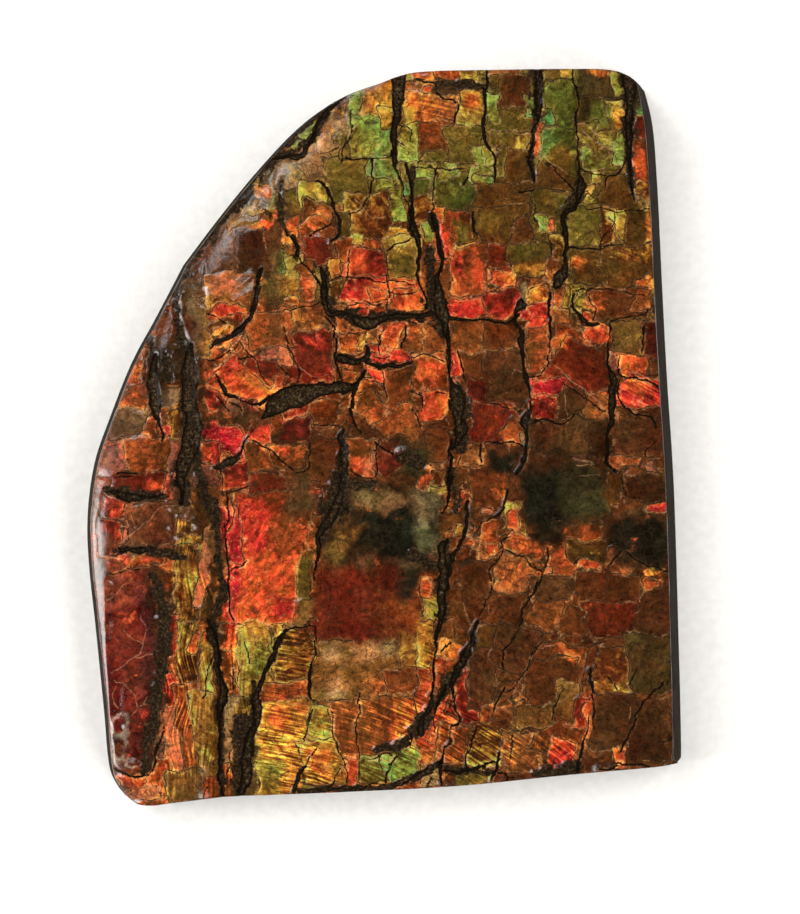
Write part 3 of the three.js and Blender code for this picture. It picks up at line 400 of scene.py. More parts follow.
# Single plates, each laid over those before it: (look, x from, x to, y from, y to[, turn])
PLATES = [
    # the arc
    ("cocoa", -21, -17, 19.4, 25.4), ("umber", -17.2, -13.9, 19.4, 24.4),
    ("tan", -18.6, -15, 25, 26.4, 20), ("buff", -17.1, -14.9, 26.4, 27.9),
    ("pitch", -17.4, -15.4, 28, 29.8, 45), ("sage", -14.2, -12.6, 27.6, 32, -12),
    ("orange", -15.4, -13.8, 28.4, 29.7), ("dun", -12.8, -10, 29.4, 32.8),
    ("tan", -13.2, -10.6, 33, 34.6, 30), ("sage", -10.6, -7.6, 33.6, 36, 40),
    ("lime", -10.2, -8, 35.6, 37.4, 40), ("buff", -9.8, -6.4, 30.6, 34.8, 30),
    ("buff", -8, -4.2, 34, 39.8, 12), ("straw", -5.8, -4.4, 34.6, 35.9),
    # upper left
    ("olive", -6.8, -1.7, 28, 33), ("olive", -5, -2.6, 33, 35.6), ("lime", -4.1, .7, 33.1, 38.8),
    ("lime", -4, -1.8, 38.6, 41.8), ("amber", -2.4, .9, 38.2, 42.3), ("amber", -.6, .9, 36.8, 39),
    ("green", -1.4, 1.4, 30.4, 33.2, -20), ("sage", -2, .8, 27.8, 30.6),
    ("ochre", -4.4, 1.8, 23.6, 28.6), ("lime", .9, 2.2, 25.8, 29.4, 20),
    ("amber", .2, 3.2, 22.6, 24.6, -10), ("gold", -9.9, -6.9, 27.2, 30),
    ("ochre", -9.6, -6.1, 25.4, 27.7, -12), ("rust", -10, -6.4, 23.4, 25.8, 24),
    ("orange", -11.9, -10.3, 23, 26, 12), ("olive", -5.5, -4.1, 23.8, 26.4),
    ("maroon", -9.6, -6.2, 20.6, 23.4), ("rust", -5.4, .3, 20.8, 23.4),
    ("gold", -3.7, -2.6, 22.7, 23.7),
    # the top, middle
    ("straw", 2.7, 3.7, 42.2, 43.5), ("orange", 3.6, 6.2, 42.2, 43.5), ("rust", 6.3, 9.3, 42.4, 43.7),
    ("amber", 9.1, 10.9, 42.3, 43.7), ("copper", 2.6, 6.3, 40.4, 42), ("flame", 4.8, 6, 40.6, 41.4),
    ("shale", 6.4, 10.8, 40.4, 42.2, -6), ("copper", 2.4, 8.6, 37, 40.4, -8),
    ("honey", 8.6, 11.7, 36.6, 40.8), ("russet", 4.1, 8, 33.8, 37.2), ("olive", 7.6, 11.3, 32.4, 36.6),
    ("lime", 2, 4, 32.6, 37.2), ("sage", 1.9, 4, 28.2, 32.4), ("emerald", 2.3, 3.3, 28.8, 30.2),
    ("moss", 4, 6, 27.8, 31.6), ("moss", 6, 10.8, 26.8, 31), ("lime", 4, 6, 31, 32.3),
    ("lime", 7, 8.8, 30.9, 32.2), ("lime", 10.4, 12.2, 30.2, 31.6), ("ochre", 3.5, 5.9, 24, 28),
    ("lime", 4.7, 5.7, 23.2, 25.2), ("rust", 6.1, 10.6, 21.4, 26.4), ("orange", 5.9, 7.2, 25.2, 26.9),
    ("orange", 8.4, 11.2, 21.4, 22.8),
    # the top, right
    ("copper", 12.2, 15.8, 42.4, 43.7), ("bark", 11.8, 13.2, 41.4, 42.6), ("brown", 13.2, 17, 39, 42.4),
    ("olive", 12.2, 17.3, 35.4, 39), ("lime", 12.1, 13.5, 37.2, 40.4),
    ("green", 16.5, 17.5, 37.8, 40.2), ("olive", 12.6, 17.2, 34.1, 36), ("bark", 14.1, 17.2, 30, 34),
    ("sage", 13, 14.2, 30.8, 34.2), ("lime", 10.7, 13, 30.8, 34.2), ("gold", 11.9, 12.9, 32.2, 34.2),
    ("lime", 10.9, 12.8, 29.9, 31), ("moss", 18.7, 22.5, 36, 43), ("olive", 18.9, 21, 42.4, 43.8),
    ("gold", 20.8, 22.3, 42.5, 43.9), ("moss", 18.6, 22.7, 30, 36.4),
    ("emerald", 18.9, 19.7, 36.9, 38.8), ("bark", 17.7, 22, 27.2, 31.6, -35),
    ("flame", 17.6, 18.4, 33, 36.8), ("thicket", 22.9, 28.1, 40.3, 43.9),
    ("lime", 27.2, 28.1, 40.6, 43), ("thicket", 22.9, 27, 36.4, 40.2),
    ("amber", 26.7, 28.5, 36.2, 39.9), ("sage", 23.3, 28.2, 31.5, 36), ("olive", 23, 24.9, 34.4, 37.2),
    ("straw", 24, 25, 32.6, 37, 44), ("lime", 27.2, 28.5, 32.2, 36), ("olive", 23.4, 26, 28.8, 31.3),
    ("gold", 24.7, 25.5, 30, 31.2), ("amber", 23.8, 24.7, 28.9, 29.7),
    ("straw", 23.9, 25, 27.2, 28.2, -40), ("bark", 26, 29, 26.9, 31), ("moss", 29.4, 31.4, 38.8, 43.2),
    ("emerald", 30.2, 31.9, 37.4, 39.2), ("maroon", 29.6, 31.9, 35, 37.6),
    ("brown", 29.4, 32, 30.6, 35), ("ochre", 29.8, 31.9, 28.4, 30.4, -30),
    # upper right
    ("bark", 10.8, 17.2, 27.2, 30), ("bark", 11, 17.4, 22.4, 27.2), ("brown", 15.2, 18.4, 22.6, 25.6),
    ("olive", 17.6, 21.4, 23, 29), ("lime", 18.4, 19.5, 23.9, 26.3, 10),
    ("red", 19.6, 20, 24.2, 25.7, -8), ("ochre", 19.8, 21.1, 21.2, 23.6),
    ("olive", 21.6, 25.8, 22.9, 27), ("ochre", 25.8, 27.5, 22.9, 27),
    ("gold", 27.3, 29, 23.4, 26.8, 20), ("bark", 28.8, 31.9, 21.8, 26.8),
    ("bark", 22.2, 25.9, 18.2, 22.6), ("bark", 26, 31.8, 17.6, 22.6),
    ("orange", 29.6, 31.6, 17.2, 18.8, 30), ("sienna", 12.2, 14.9, 19.4, 22.6),
    ("olive", 14.9, 19.2, 19, 22.6), ("flame", 12.5, 15, 17.9, 19.3, -12),
    ("coral", 11.2, 12.4, 18.6, 19.7), ("dull red", 10, 15.6, 14.2, 17.3), ("red", 7.7, 12, 14.2, 16.4),
    ("rust", 8, 12, 17, 22.4), ("dun", 16.2, 17, 16.5, 18, 20), ("orange", 17.2, 19.4, 15.8, 17.6),
    ("red", 15.9, 19.4, 12.9, 15.8), ("rust", 16.9, 19.4, 7.6, 12.8), ("gold", 20, 21.7, 15.4, 17.5),
    ("rust", 20, 20.9, 15.6, 17.4), ("copper", 19.8, 22, 13, 15.2), ("straw", 22.7, 24.3, 15, 17.2),
    ("flame", 23.1, 25.2, 13.4, 14.9, -30), ("brown", 24.4, 31, 13.9, 17.6),
    ("russet", 29.6, 31.4, 15, 17.2), ("tan", 27, 30.5, 10.1, 14), ("wine", 30.8, 33.2, 9.4, 14),
    ("rust", 20, 24, 10.3, 12.9, -10), ("flame", 24, 26.6, 10.9, 13.2),
    ("sienna", 19.6, 26.6, 4.6, 10.8, -30), ("rose", 26.4, 27.6, 8.4, 10, 40),
    ("flame", 27.8, 31, 7.4, 9.7), ("red", 27.7, 33.2, 2.8, 7.2, -20),
    ("dull red", 17.3, 20.5, 2.2, 5.4), ("crimson", 17.6, 21.2, 5.4, 6.7, 12),
    ("peat", 20.5, 24, 2.2, 5.4), ("russet", 24, 26.6, 1.8, 4.6, -30),
    ("brown", 10.2, 15.8, 10.4, 13.8), ("peat", 10.2, 16.2, 7.6, 10.2), ("wine", 10, 12.3, 4, 7.4),
    ("peat", 12.4, 16.8, 3.6, 7.4), ("maroon", 10.4, 16.2, -.4, 4), ("rust", 13.8, 16.4, -.8, 1.6, 40),
    ("peat", 17.4, 24.3, -1.8, 2), ("umber", 24.3, 26.5, -2, 2.2), ("peat", 27.5, 33.2, -2, 3.2),
    # the middle
    ("honey", -13.2, -9.4, 16.2, 21.4), ("green", -13, -11.6, 19.4, 22),
    ("rust", -9.8, -8.3, 16.4, 20.6, 14), ("amber", -6.7, -5.3, 19, 21),
    ("dull red", -4.4, .2, 18.8, 22), ("honey", .4, 4, 18.4, 23.6), ("ochre", -6.7, -5, 15.4, 18.6),
    ("red", -4.9, .3, 15.9, 18.7), ("orange", -1.6, 0, 16.2, 17.4), ("flame", .5, 4.1, 17, 18.3),
    ("flame", .8, 4.6, 15, 17.1), ("red", -4.2, -2, 14.8, 15.8), ("copper", -12.2, -7, 12.8, 16),
    ("orange", -11.6, -10, 15.6, 16.4), ("flame", -12.8, -11.4, 13.2, 15),
    ("maroon", -10.9, -6.3, 6.3, 12.4), ("coral", -13.9, -11.2, 8.8, 11),
    ("rust", -5.1, -1.9, 9.8, 12.3), ("amber", -3, -1.9, 10, 11.8), ("copper", -1.8, -.5, 10.4, 12.6),
    ("flame", -.4, 2.1, 10.2, 13.6), ("rust", 2.5, 4.6, 10.2, 13.4), ("russet", 4.7, 6.9, 10, 13.6),
    ("red", -1.8, 0, 9.7, 10.5), ("red", .7, 2.6, 9, 10), ("red", -1.8, .1, 8.3, 9.4),
    ("red", -2.2, -.4, 6.6, 7.7), ("brown", -3.6, -2.2, 7, 8.4), ("rust", -5.2, -3.4, 6.2, 7.8, -30),
    ("rust", 3.3, 7.2, 5.6, 9.7), ("russet", -.3, 3.2, 3, 8), ("flame", 4.3, 7.3, 2, 5.3, -16),
    ("flame", -3.9, -2.3, 4, 5.1), ("rust", -3.4, 0, 2.2, 4.8, -30), ("russet", .2, 4, -.6, 3.4, 30),
    ("umber", -1.6, 2.6, -2, 0), ("wine", -12, -8.8, 0, 2.3), ("russet", -8.6, -5.4, 1.6, 4.2),
    ("brown", 4.6, 7.4, -.6, 2), ("red", 7.9, 9, 7, 10.2), ("brown", 9.2, 11.6, 7.4, 10.2),
    ("russet", 8, 11.6, 10.2, 13.8), ("rose", 8, 9, 4.2, 6.5),
    # the middle, left
    ("copper", -21, -15.4, 15.2, 19.2), ("flame", -20.2, -16, 13.8, 15.4),
    ("amber", -22.3, -21.3, 15.6, 16.9), ("dun", -23.4, -21.7, 9, 16.6, 10),
    ("tan", -21.8, -20.6, 9.6, 15), ("brown", -20.4, -16.6, 11.8, 13.9, 24),
    ("orange", -19.9, -19.1, 12.1, 12.9), ("orange", -19, -18.1, 12.3, 13.1),
    ("dull red", -25.2, -23.4, 12.2, 14.6), ("umber", -27.4, -24, 7, 12),
    ("rust", -31.2, -28.4, 6.4, 11, -25), ("rust", -31.4, -28.2, 3.4, 6, 10),
    ("fawn", -32.6, -28.2, .2, 3.4), ("rust", -28.2, -26.7, -.4, 2.4), ("dun", -26.6, -24.4, 3.9, 5.8),
    ("rust", -26.6, -25.1, 1, 3.8), ("ochre", -25.4, -23.9, -.4, 3.5), ("red", -26.4, -25.4, -1, 1),
    ("red", -21.2, -19.1, 3.4, 6.1, 20), ("flame", -19.9, -12.4, 4.2, 8.6, -24),
    ("rust", -17.2, -15, 9, 11), ("maroon", -16, -12.6, 7, 9.6, -36), ("rose", -14.3, -12.4, 9.4, 10.6),
    ("rose", -18.4, -17, 3.1, 4.6, -30), ("crimson", -16.9, -15.2, 2.9, 4.1),
    ("crimson", -21.2, -17, -2, 1.5), ("red", -21.8, -19.6, -3.4, -.6), ("red", -15.7, -13.5, -.5, 1.9),
    ("rust", -16, -10.8, 10.8, 14.6), ("dull red", -12.4, -9.4, 2.6, 5.4, 20),
    # left, below the middle
    ("rose", -34.2, -30.4, -4, -.6), ("rust", -30.3, -25.5, -4, -.2), ("maroon", -32, -26, -6.4, -4.2),
    ("dull red", -33.2, -30.5, -9.5, -7), ("cocoa", -30.4, -24.6, -12.6, -7.6),
    ("dull red", -33.6, -31.4, -14, -10), ("flame", -29.6, -26.6, -15, -13.7, 12),
    ("flame", -23.7, -22.8, -3.6, -1), ("rose", -23.7, -22.7, -9.2, -6.8),
    ("ochre", -24.6, -22, -22, -12.6), ("coral", -21.8, -20.8, -20, -10.8),
    ("rose", -22.4, -19.8, -5.6, -3.4), ("dull red", -19.2, -16.3, -6.1, -3.2),
    ("rust", -16.2, -13.2, -4, -.8), ("maroon", -16, -11.8, -8, -4.4),
    ("ember", -18.6, -9.4, -22, -6.6), ("crimson", -19.4, -17.2, -14.6, -8),
    ("olive", -9.9, -8.9, -20, -13.4), ("tan", -10.4, -8.4, -22.4, -19.4),
    # under the middle
    ("rust", -13.4, -9.2, -3.6, -1), ("brown", -8.8, -5.2, -5, -.2), ("rust", -4.1, -1, -4.6, -.2),
    ("maroon", -1, 2, -4, -.6, -30), ("brown", 5, 7.5, -2.8, 1), ("flame", 4.2, 5.9, -6, -3.4, -20),
    ("gold", 5.5, 7.4, -6.5, -5.5), ("ochre", 5.9, 7.4, -5.5, -4), ("dull red", -8.7, -7.4, -9.2, -6),
    ("gold", 4.7, 6.4, -23.4, -18.4), ("flame", 4.7, 5.7, -18.6, -16.8),
    ("ochre", 8.3, 9.5, -11.5, -10), ("copper", 9.2, 11.9, -2.8, -.7), ("dun", 16.1, 16.7, -1, .4),
    # lower right
    ("brown", 10, 14.6, -8.2, -3.4), ("ochre", 13.8, 16.6, -11.2, -7.7),
    ("gold", 14.2, 15.5, -8.9, -7.9), ("flame", 14.5, 15.7, -10.5, -9), ("coral", 11.6, 12.8, -9, -8.4),
    ("rust", 11.4, 13.6, -14.2, -9.8), ("flame", 12, 13.2, -13.7, -12.5),
    ("rust", 14.2, 18.4, -14.4, -11.6, -24), ("copper", 12.9, 17.4, -18.3, -14, -20),
    ("rust", 19, 22.2, -17, -12.8), ("coral", 19.4, 20.2, -16, -15.2),
    ("rust", 21.2, 25.8, -12.1, -10.2), ("bark", 22, 27.2, -15.2, -12.2),
    ("flame", 22.8, 25.4, -15.4, -14.8), ("copper", 26.4, 29.6, -16.2, -13.6, -35),
    ("coral", 27.2, 28.4, -14.4, -13.8, -35), ("rust", 30.2, 32.7, -17.9, -16.8, -20),
    ("brown", 9.4, 12.8, -22, -15), ("brown", 12.2, 17, -22.2, -18.4),
    ("russet", 17.2, 20.6, -22.6, -19, -20), ("peat", 18, 22, -19, -16.6),
    ("brown", 22.4, 26.2, -20, -16), ("brown", 26.4, 30.2, -19.4, -16.4),
    ("sienna", 24, 30, -23.4, -19.6), ("peat", 30.2, 34.4, -23.4, -18.2),
    ("red", 31.1, 33.6, -8.6, -7.1), ("rose", 31.1, 32.2, -4.4, -2.9, 30),
    ("rose", 28.2, 28.9, -4.4, -3.8), ("umber", 28.6, 33, -7.4, -4.4), ("bark", 26.6, 28.2, -7.6, -3.8),
    ("rose", 20.6, 22.8, -4.4, -3.7, -20), ("rose", 22.8, 23.8, -2.6, -2),
    # lower left
    ("dull red", -26, -24.5, -25.8, -21.4, 10), ("red", -26.2, -23.9, -32.2, -27.8, 14),
    ("coral", -26.4, -23.8, -39, -32, 8), ("rose", -27.2, -26.1, -38.6, -35.4),
    ("ochre", -24.2, -21.7, -29, -22), ("flame", -22.7, -22, -25.6, -23.6),
    ("rust", -24.2, -22.3, -40, -29), ("flame", -22.5, -21.6, -33.8, -30.2),
    ("gold", -21.5, -20, -30.2, -23.6), ("honey", -22.2, -20, -40, -30.2),
    ("flame", -19.5, -17.5, -25, -22), ("rust", -19.6, -17.2, -30.4, -25),
    ("honey", -17.2, -13.6, -30.4, -22), ("buff", -19.3, -18, -38.4, -31),
    ("flame", -31.6, -28.2, -41.2, -40), ("flame", -27.6, -25.7, -42.2, -38.2),
    ("coral", -30, -26.4, -42.6, -41.3, 12), ("tan", -25.6, -21.6, -43, -39.6),
    # the ribbed foot
    ("ochre", -12.4, -8.7, -28.8, -22.6), ("rust", -14.6, -9, -31.2, -29),
    ("saffron", -15, -9.4, -43, -31), ("gold", -8.6, -6, -36, -31.8),
    ("amber", -9.6, -5.2, -40.8, -35.6), ("maroon", -8.2, 4, -24.6, -22),
    ("toast", -8.3, 2.6, -31, -24.4), ("russet", -6, 3.8, -37.2, -31),
    ("russet", .6, 3.9, -30.4, -27.6, 8), ("honey", 1.8, 4.2, -27.2, -23.2),
    ("amber", 4, 5.7, -27.4, -22), ("flame", 3.9, 5.3, -33, -27.6), ("sage", -2.7, .1, -40.4, -37.6),
    ("lime", .2, 4, -40.2, -36.8, 20), ("brown", 6.2, 8, -24, -21.6),
    ("orange", 6.2, 9.4, -26.2, -24, -20), ("flame", 6, 8.5, -35.8, -30.2, -8),
    ("dull red", 8, 11.4, -33.2, -28, -20), ("rust", 6.2, 9.8, -38.4, -34),
    ("straw", 8.4, 12.6, -41.8, -39.3), ("buff", 4.6, 6.2, -41, -38.6), ("ochre", 10, 14, -38.6, -33.8),
    ("copper", 14, 18.8, -39.4, -35), ("orange", 13.9, 14.9, -37.2, -36),
    ("russet", 18, 23.9, -38, -33.4, -18), ("red", 19.8, 22.2, -39.2, -35.8, -20),
    ("dull red", 21.8, 23.8, -34, -30.8), ("brown", 17.2, 23.6, -29.4, -24.4, -12),
    ("brown", 16.6, 22.6, -31.8, -26.2), ("tan", 15, 20, -34.2, -32, 10),
    ("tan", 20.4, 22.6, -33, -28.8, -20), ("flame", 23.9, 24.8, -35.6, -31.2),
    ("ochre", 25, 29, -30, -25), ("thicket", 29, 34.4, -30, -23.4), ("peat", 25, 29, -37, -30.6),
    ("peat", 29, 34.6, -38, -31), ("flame", 27, 28.5, -38.6, -36.8), ("peat", 10, 13, -31.4, -25, 10),
    ("bark", 11, 13.6, -25, -22.6), ("peat", 13, 17.6, -27.4, -22.4, -14),
]

# Glows and shades inside plates, soft at their edges: (look, x from, x to, y from, y to[, turn])
GLOWS = [
    ("straw", -11.8, -10.2, 30.4, 32.6), ("ochre", -6, -4.3, 38.2, 40, 10),
    ("ochre", -7.4, -5.8, 35.8, 37.4), ("green", -.8, .6, 33.4, 36.8), ("ochre", -3.4, .8, 24.6, 27.6),
    ("copper", -8.4, -6, 25.8, 27.2), ("gold", 2.4, 4, 36.8, 39.4), ("orange", 4.3, 6.2, 38.4, 40),
    ("orange", 8.9, 11, 38.6, 40.4), ("olive", 8.4, 10.2, 23, 25.2), ("crimson", 6.1, 7.4, 21.2, 24.6),
    ("gold", 15.4, 17.1, 34, 35.8), ("green", 18.6, 19.8, 32.8, 36.2),
    ("olive", 19.6, 22.4, 31.8, 34.4, -20), ("thicket", 23.2, 26.8, 40.6, 43.4),
    ("orange", 24.4, 27.2, 43, 44), ("moss", 24.6, 27, 36.4, 39.8),
    ("flame", 29.5, 30.9, 30.8, 33.8, 12), ("olive", 11, 13.6, 24.2, 26.6, -30),
    ("orange", 31, 32, 22, 26.8), ("orange", 21.9, 23.8, 19.6, 21.2, -40),
    ("ochre", 27, 31.6, 20.6, 22.4), ("amber", 14.9, 19.2, 19.3, 20.4), ("flame", 10.4, 12, 17.9, 20.4),
    ("dull red", 8, 9.8, 19, 21.6), ("rust", 24.2, 26.4, 15.2, 17.4, -30),
    ("orange", 20.2, 22, 10.8, 12.6, -30), ("flame", 28, 31, 5, 7, -20), ("sienna", 10.8, 13.6, .4, 3),
    ("flame", -4.4, -1.8, 19.6, 21.8), ("olive", .8, 3.4, 18.8, 21.4), ("flame", -2.5, .3, 16, 18.2),
    ("dull red", -10.8, -6.6, 10.2, 12.3), ("dull red", -8.6, -6.4, 6.4, 8.4),
    ("flame", 4, 6.4, 6.4, 8.6), ("red", -19.4, -17, 14.2, 15.2),
    ("orange", -30.4, -28.4, 7.2, 8.3, 20), ("orange", -17, -13, 5.6, 7.4, -24),
    ("flame", -27.8, -25.9, -6.2, -4.9), ("gold", -23.5, -22.3, -18.4, -15.6),
    ("red", -17.2, -13.8, -13.6, -7.4), ("crimson", -18.7, -17.3, -22, -15),
    ("flame", -17.2, -13.6, -22, -14.4), ("rust", -12.6, -9.2, -14, -9),
    ("flame", -13.4, -10, -17.6, -14), ("red", -13, -10.2, -21.8, -18.8), ("flame", -13, -11, -2.4, -1),
    ("flame", -3.8, -1.4, -4.6, -2.4), ("coral", -2.3, -.9, -4.4, -2.5),
    ("rust", 12.8, 14.3, -7.6, -4.4), ("flame", 11.7, 13, -11.8, -10),
    ("sage", -15.8, -13.4, -29, -23.6, -20), ("amber", -14.6, -10.6, -36.6, -33),
    ("orange", 1, 4, -36.4, -31.4), ("orange", 20, 23.2, -26.2, -24.9, -26),
    ("buff", -7.4, -5.4, -26.8, -24.8, 20), ("buff", -3.4, 1, -26.4, -24, 14),
    ("buff", -7, -4.6, -30.6, -28.8), ("copper", -2.6, .6, -30.4, -28.6, 12),
    ("coral", -20.4, -16.8, 17, 19), ("orange", 2.8, 4.6, 38.8, 40.2), ("flame", 1.4, 3.8, 15.4, 16.8),
    ("orange", -9.2, -6.4, -39.6, -36.6), ("straw", -14.8, -12, -42, -38),
    ("orange", -13.6, -10.6, -34, -31.6), ("flame", -21, -19.4, -24.4, -22.6),
]

# Stains with cloudy edges, over the plates: (colour, strength, x from, x to, y from, y to[, turn])
STAINS = [
    (PITCH, .9, 29.4, 31.6, 39.4, 43.4), (SHALE, .7, -13.8, -12, 12, 30),
    (SHALE, .9, -24.6, -21.8, 8, 18.4), (DUN, .3, -23.4, -22, 10, 17.2),
    (PITCH, .7, -27.6, -22.8, 6.4, 12.4), (UMBER, .7, -27, -23, 11, 18),
    # The pale DUN band along the left shoulder, x -35.4 to -33.4, is a painted sheen under the
    # shoulder's highlight.
    (DUN, .3, -35.4, -33.4, -20, 4), (PITCH, .8, -28.2, -26.2, 3, 9.6), (PITCH, .8, -24, -21.4, -2, 11),
    (SHALE, .8, -25, -22.6, -8.8, -2), (SHALE, .7, -21.6, -16, 1.6, 4), (SHALE, .8, -17, -12.6, 1, 3.4),
    (UMBER, .7, -9, -5.6, -4.8, -.6), (UMBER, .5, -15.6, -9, -5.4, -2),
    (SHALE, .8, -12, -8.6, -9.2, -4.6), (THICKET, .95, 1.4, 5.4, -4.4, -.6),
    (PITCH, .7, -1.6, 2.4, -1.8, 0), (LODEN, .9, 1.8, 6.6, -14.4, -6.2),
    (PITCH, .7, 5.2, 7.4, -13, -8.4), (PITCH, .85, -4.4, 3, -9, -4.8),
    (INK, .97, -3.2, 3.6, -14.8, -8.2), (INK, .95, -7.6, -3.4, -10.8, -5),
    (PITCH, .9, -8, -1.6, -15, -10.6), (INK, .9, -4.4, -1.6, -12.4, -9),
    (TAN, .95, -7.4, -3.4, -13.2, -11.2, 50), (BUFF, .9, -2.8, 1.2, -7.8, -6.7, -8),
    (INK, .95, -.2, 5.8, -16.4, -14), (INK, .9, .2, 3.8, -19, -15.4),
    (FAWN, .7, -2.4, -1.2, -14.8, -13.6), (FAWN, .6, 1.4, 3.6, -15.2, -14.4, -8),
    (INK, .97, 12, 16.4, -4.2, -.9), (INK, .97, 16.2, 22.6, -9.8, -3.4), (INK, .9, 17.4, 21, -12.8, -9),
    (THICKET, .95, 21, 26.4, -10.2, -3), (PITCH, .7, 16.6, 26, -4.4, -1),
    (INK, .95, 26.4, 34.4, -15.2, -9.6), (LICHEN, .5, 26.8, 33.4, -9.5, -8.5),
    (OXBLOOD, .93, -7.9, 1.6, -22.6, -15.4), (RUSSET, .8, -.6, 4.6, -23.4, -18.6),
    (OXBLOOD, .7, -8, 2, -24.4, -21), (WINE, .95, -33.4, -27.6, -39, -16.2),
    (BRICK, .85, -33.4, -28.6, -20.6, -15.6), (BRICK, .4, -33, -30, -26, -21.6),
    (PLUM, .7, -28.8, -26.8, -31, -16.6), (BRICK, .3, -30.4, -28, -34, -24),
    (INK, .5, -30, -27, -39, -34), (PITCH, .6, -27.6, -26, -39, -17),
    (SHALE, .6, -32.6, -30.8, -38.9, -35.6), (SHALE, .9, -21, -19.5, -20, -7),
    (SHALE, .85, -17.6, -15.2, -43, -32.6), (PITCH, .9, -20.2, -19.2, -40, -22),
    (PITCH, .8, 18, 23.6, -40.6, -38.8), (PITCH, .7, 1.2, 2.8, -37.3, -36.2),
    (INK, .9, -32.2, -26.4, -7.4, -6.1), (SHALE, .85, -32, -25.6, -14, -12.6),
]
# No film is left in a stain of these colours
STAIN_KILLS = (INK, LODEN, PITCH, SHALE, DUN, TAN, BUFF, LICHEN, THICKET)

# Pale veins of calcite and old scratches: [(x, y), ...] for each
VEIN_LAYERS = 3
VEIN_WIDTH = 0.04
VEINS = [
    [(-32.4, -27.6), (-31, -27), (-29.6, -26.2), (-28.6, -24.4)],
    [(-29.6, -26.2), (-28, -25.4), (-26.8, -25.2)],
    [(-30, -32.8), (-29.2, -31.9), (-28.4, -31.6), (-27.4, -31.7)],
    [(-29.2, -31.9), (-29.6, -30.4), (-30.6, -29.4)], [(-30.8, -22.8), (-30.2, -23.4), (-28.6, -24.4)],
    [(-31.8, -29.4), (-32.2, -30.8), (-31.4, -32)], [(-30.4, -29.4), (-32.2, -28.8)],
    [(-28.4, -31.6), (-27.8, -30.6)], [(-28.6, -24.4), (-28.2, -22.6), (-28.8, -21)],
    [(-31.6, -12.4), (-28.6, -10.4), (-26.6, -8.6), (-24.6, -8)],
    [(-33.6, -20.4), (-31.4, -18.2), (-29.4, -16.4)],
    [(-20, 8.6), (-17.8, 8.4), (-15.8, 6.8), (-13.2, 6)], [(-17.6, 12.8), (-16.6, 11.4), (-15.4, 9.9)],
    [(-18, 9.4), (-16.6, 11.4), (-19, 12.2)], [(-10.6, 8.6), (-8.4, 7), (-6.8, 7.2)],
    [(23.4, 36.6), (25, 34.8), (27, 33)], [(24.2, 37), (25.8, 35.4), (27.6, 34.6)],
    [(20, 8.6), (22.4, 6.8), (25.6, 3.9)], [(21.2, 5.4), (21.3, 3.6), (21.6, 2.2)],
    [(16, -30.8), (16.4, -27.6), (18.4, -24.8), (20.6, -24.6)], [(22.4, -2.4), (24.8, -3)],
    [(22.6, -3.2), (25, -3.2)], [(23, -4.4), (25.4, -4.6)], [(-5.8, -30.6), (-5, -27.4), (-3.2, -25)],
    [(-3.4, 28.2), (-1.4, 26), (.4, 26.2)],
]

# Small blisters in the clear coat over the sunken pane: (x, y, half width, half height, rise)
BLISTERS = [
    (-31.2, -34.2, 1.2, 1.5, 0.3), (-31.4, -36.9, 0.8, 1.6, 0.14), (-29.8, -38.5, 0.9, 0.6, 0.2),
]

# Ridges and beads of the clear coat that catch the light: (half width, rise, [(x, y), ...])
BEADS = [
    (1.1, .46, [(-20.6, 18), (-19.6, 17.2), (-18.3, 17), (-16.8, 17.8), (-15.4, 19)]),
    (.8, .35, [(-25, -8.9), (-24.7, -8.9)]), (.4, .19, [(-24, -9.2), (-23.9, -9.3)]),
    (.8, .35, [(-23.2, -9.7), (-22.8, -10.1)]), (.9, .39, [(-25, -11.1), (-24.8, -11.6)]),
    (.7, .29, [(-12, 29.2), (-11.8, 29.5)]), (.8, .34, [(-14.2, 25.9), (-14, 26.3)]),
    (.45, .21, [(-13.3, 27.2), (-13.2, 27.3)]), (.9, .39, [(-7.4, 23.6), (-6.7, 23.7)]),
    (.4, .19, [(-6.4, 24.4), (-6.3, 24.5)]), (.4, .19, [(-29.4, -10.9), (-29.2, -10.9)]),
    (.4, .19, [(-24.4, 11), (-24.3, 11.1)]), (.35, .17, [(-25.2, 9.8), (-25.1, 9.9)]),
    (.4, .19, [(-22, 9), (-21.9, 8.9)]), (.45, .21, [(-28.6, 9.6), (-28.4, 9.9)]),
    (.4, .19, [(-24.2, 17.2), (-24, 17)]), (.35, .17, [(-22.4, 19.6), (-22.3, 19.7)]),
    (.35, .17, [(-26.2, 14.8), (-26.1, 14.9)]), (.35, .17, [(-25.6, 16), (-25.5, 16.1)]),
    (.3, .14, [(-27, 12.6), (-26.9, 12.7)]), (.35, .17, [(16.7, 17.2), (16.8, 17.4)]),
    (.45, .21, [(-30.2, -38.5), (-29.6, -38.6)]), (.4, .19, [(-31.6, -33.2), (-30.9, -33.3)]),
]
# The broken rock inside this box kept a share of its wet gloss: (x from, x to, y from, y to)
WET_ROCK = (-30, -21.6, 6.4, 21)
WET_SHARE = 0.7

# Where the shell is crushed small: (x from, x to, y from, y to)
CRUSHED = [
    (-24, -12, 1, 14), (-5, 8, 6, 14), (-13, -6, 11, 17), (12, 22, 13, 20), (-30, -22, 2, 19),
    (-13, -8, -4, 3), (-9, -3, -2, 4), (8, 15, -15, -5), (13, 23, -20, -12), (26, 34, -19, -12),
    (16, 28, 1, 7), (-20, -12, 24, 34), (22, 27, 12, 18), (23, 30, 26, 32),
]

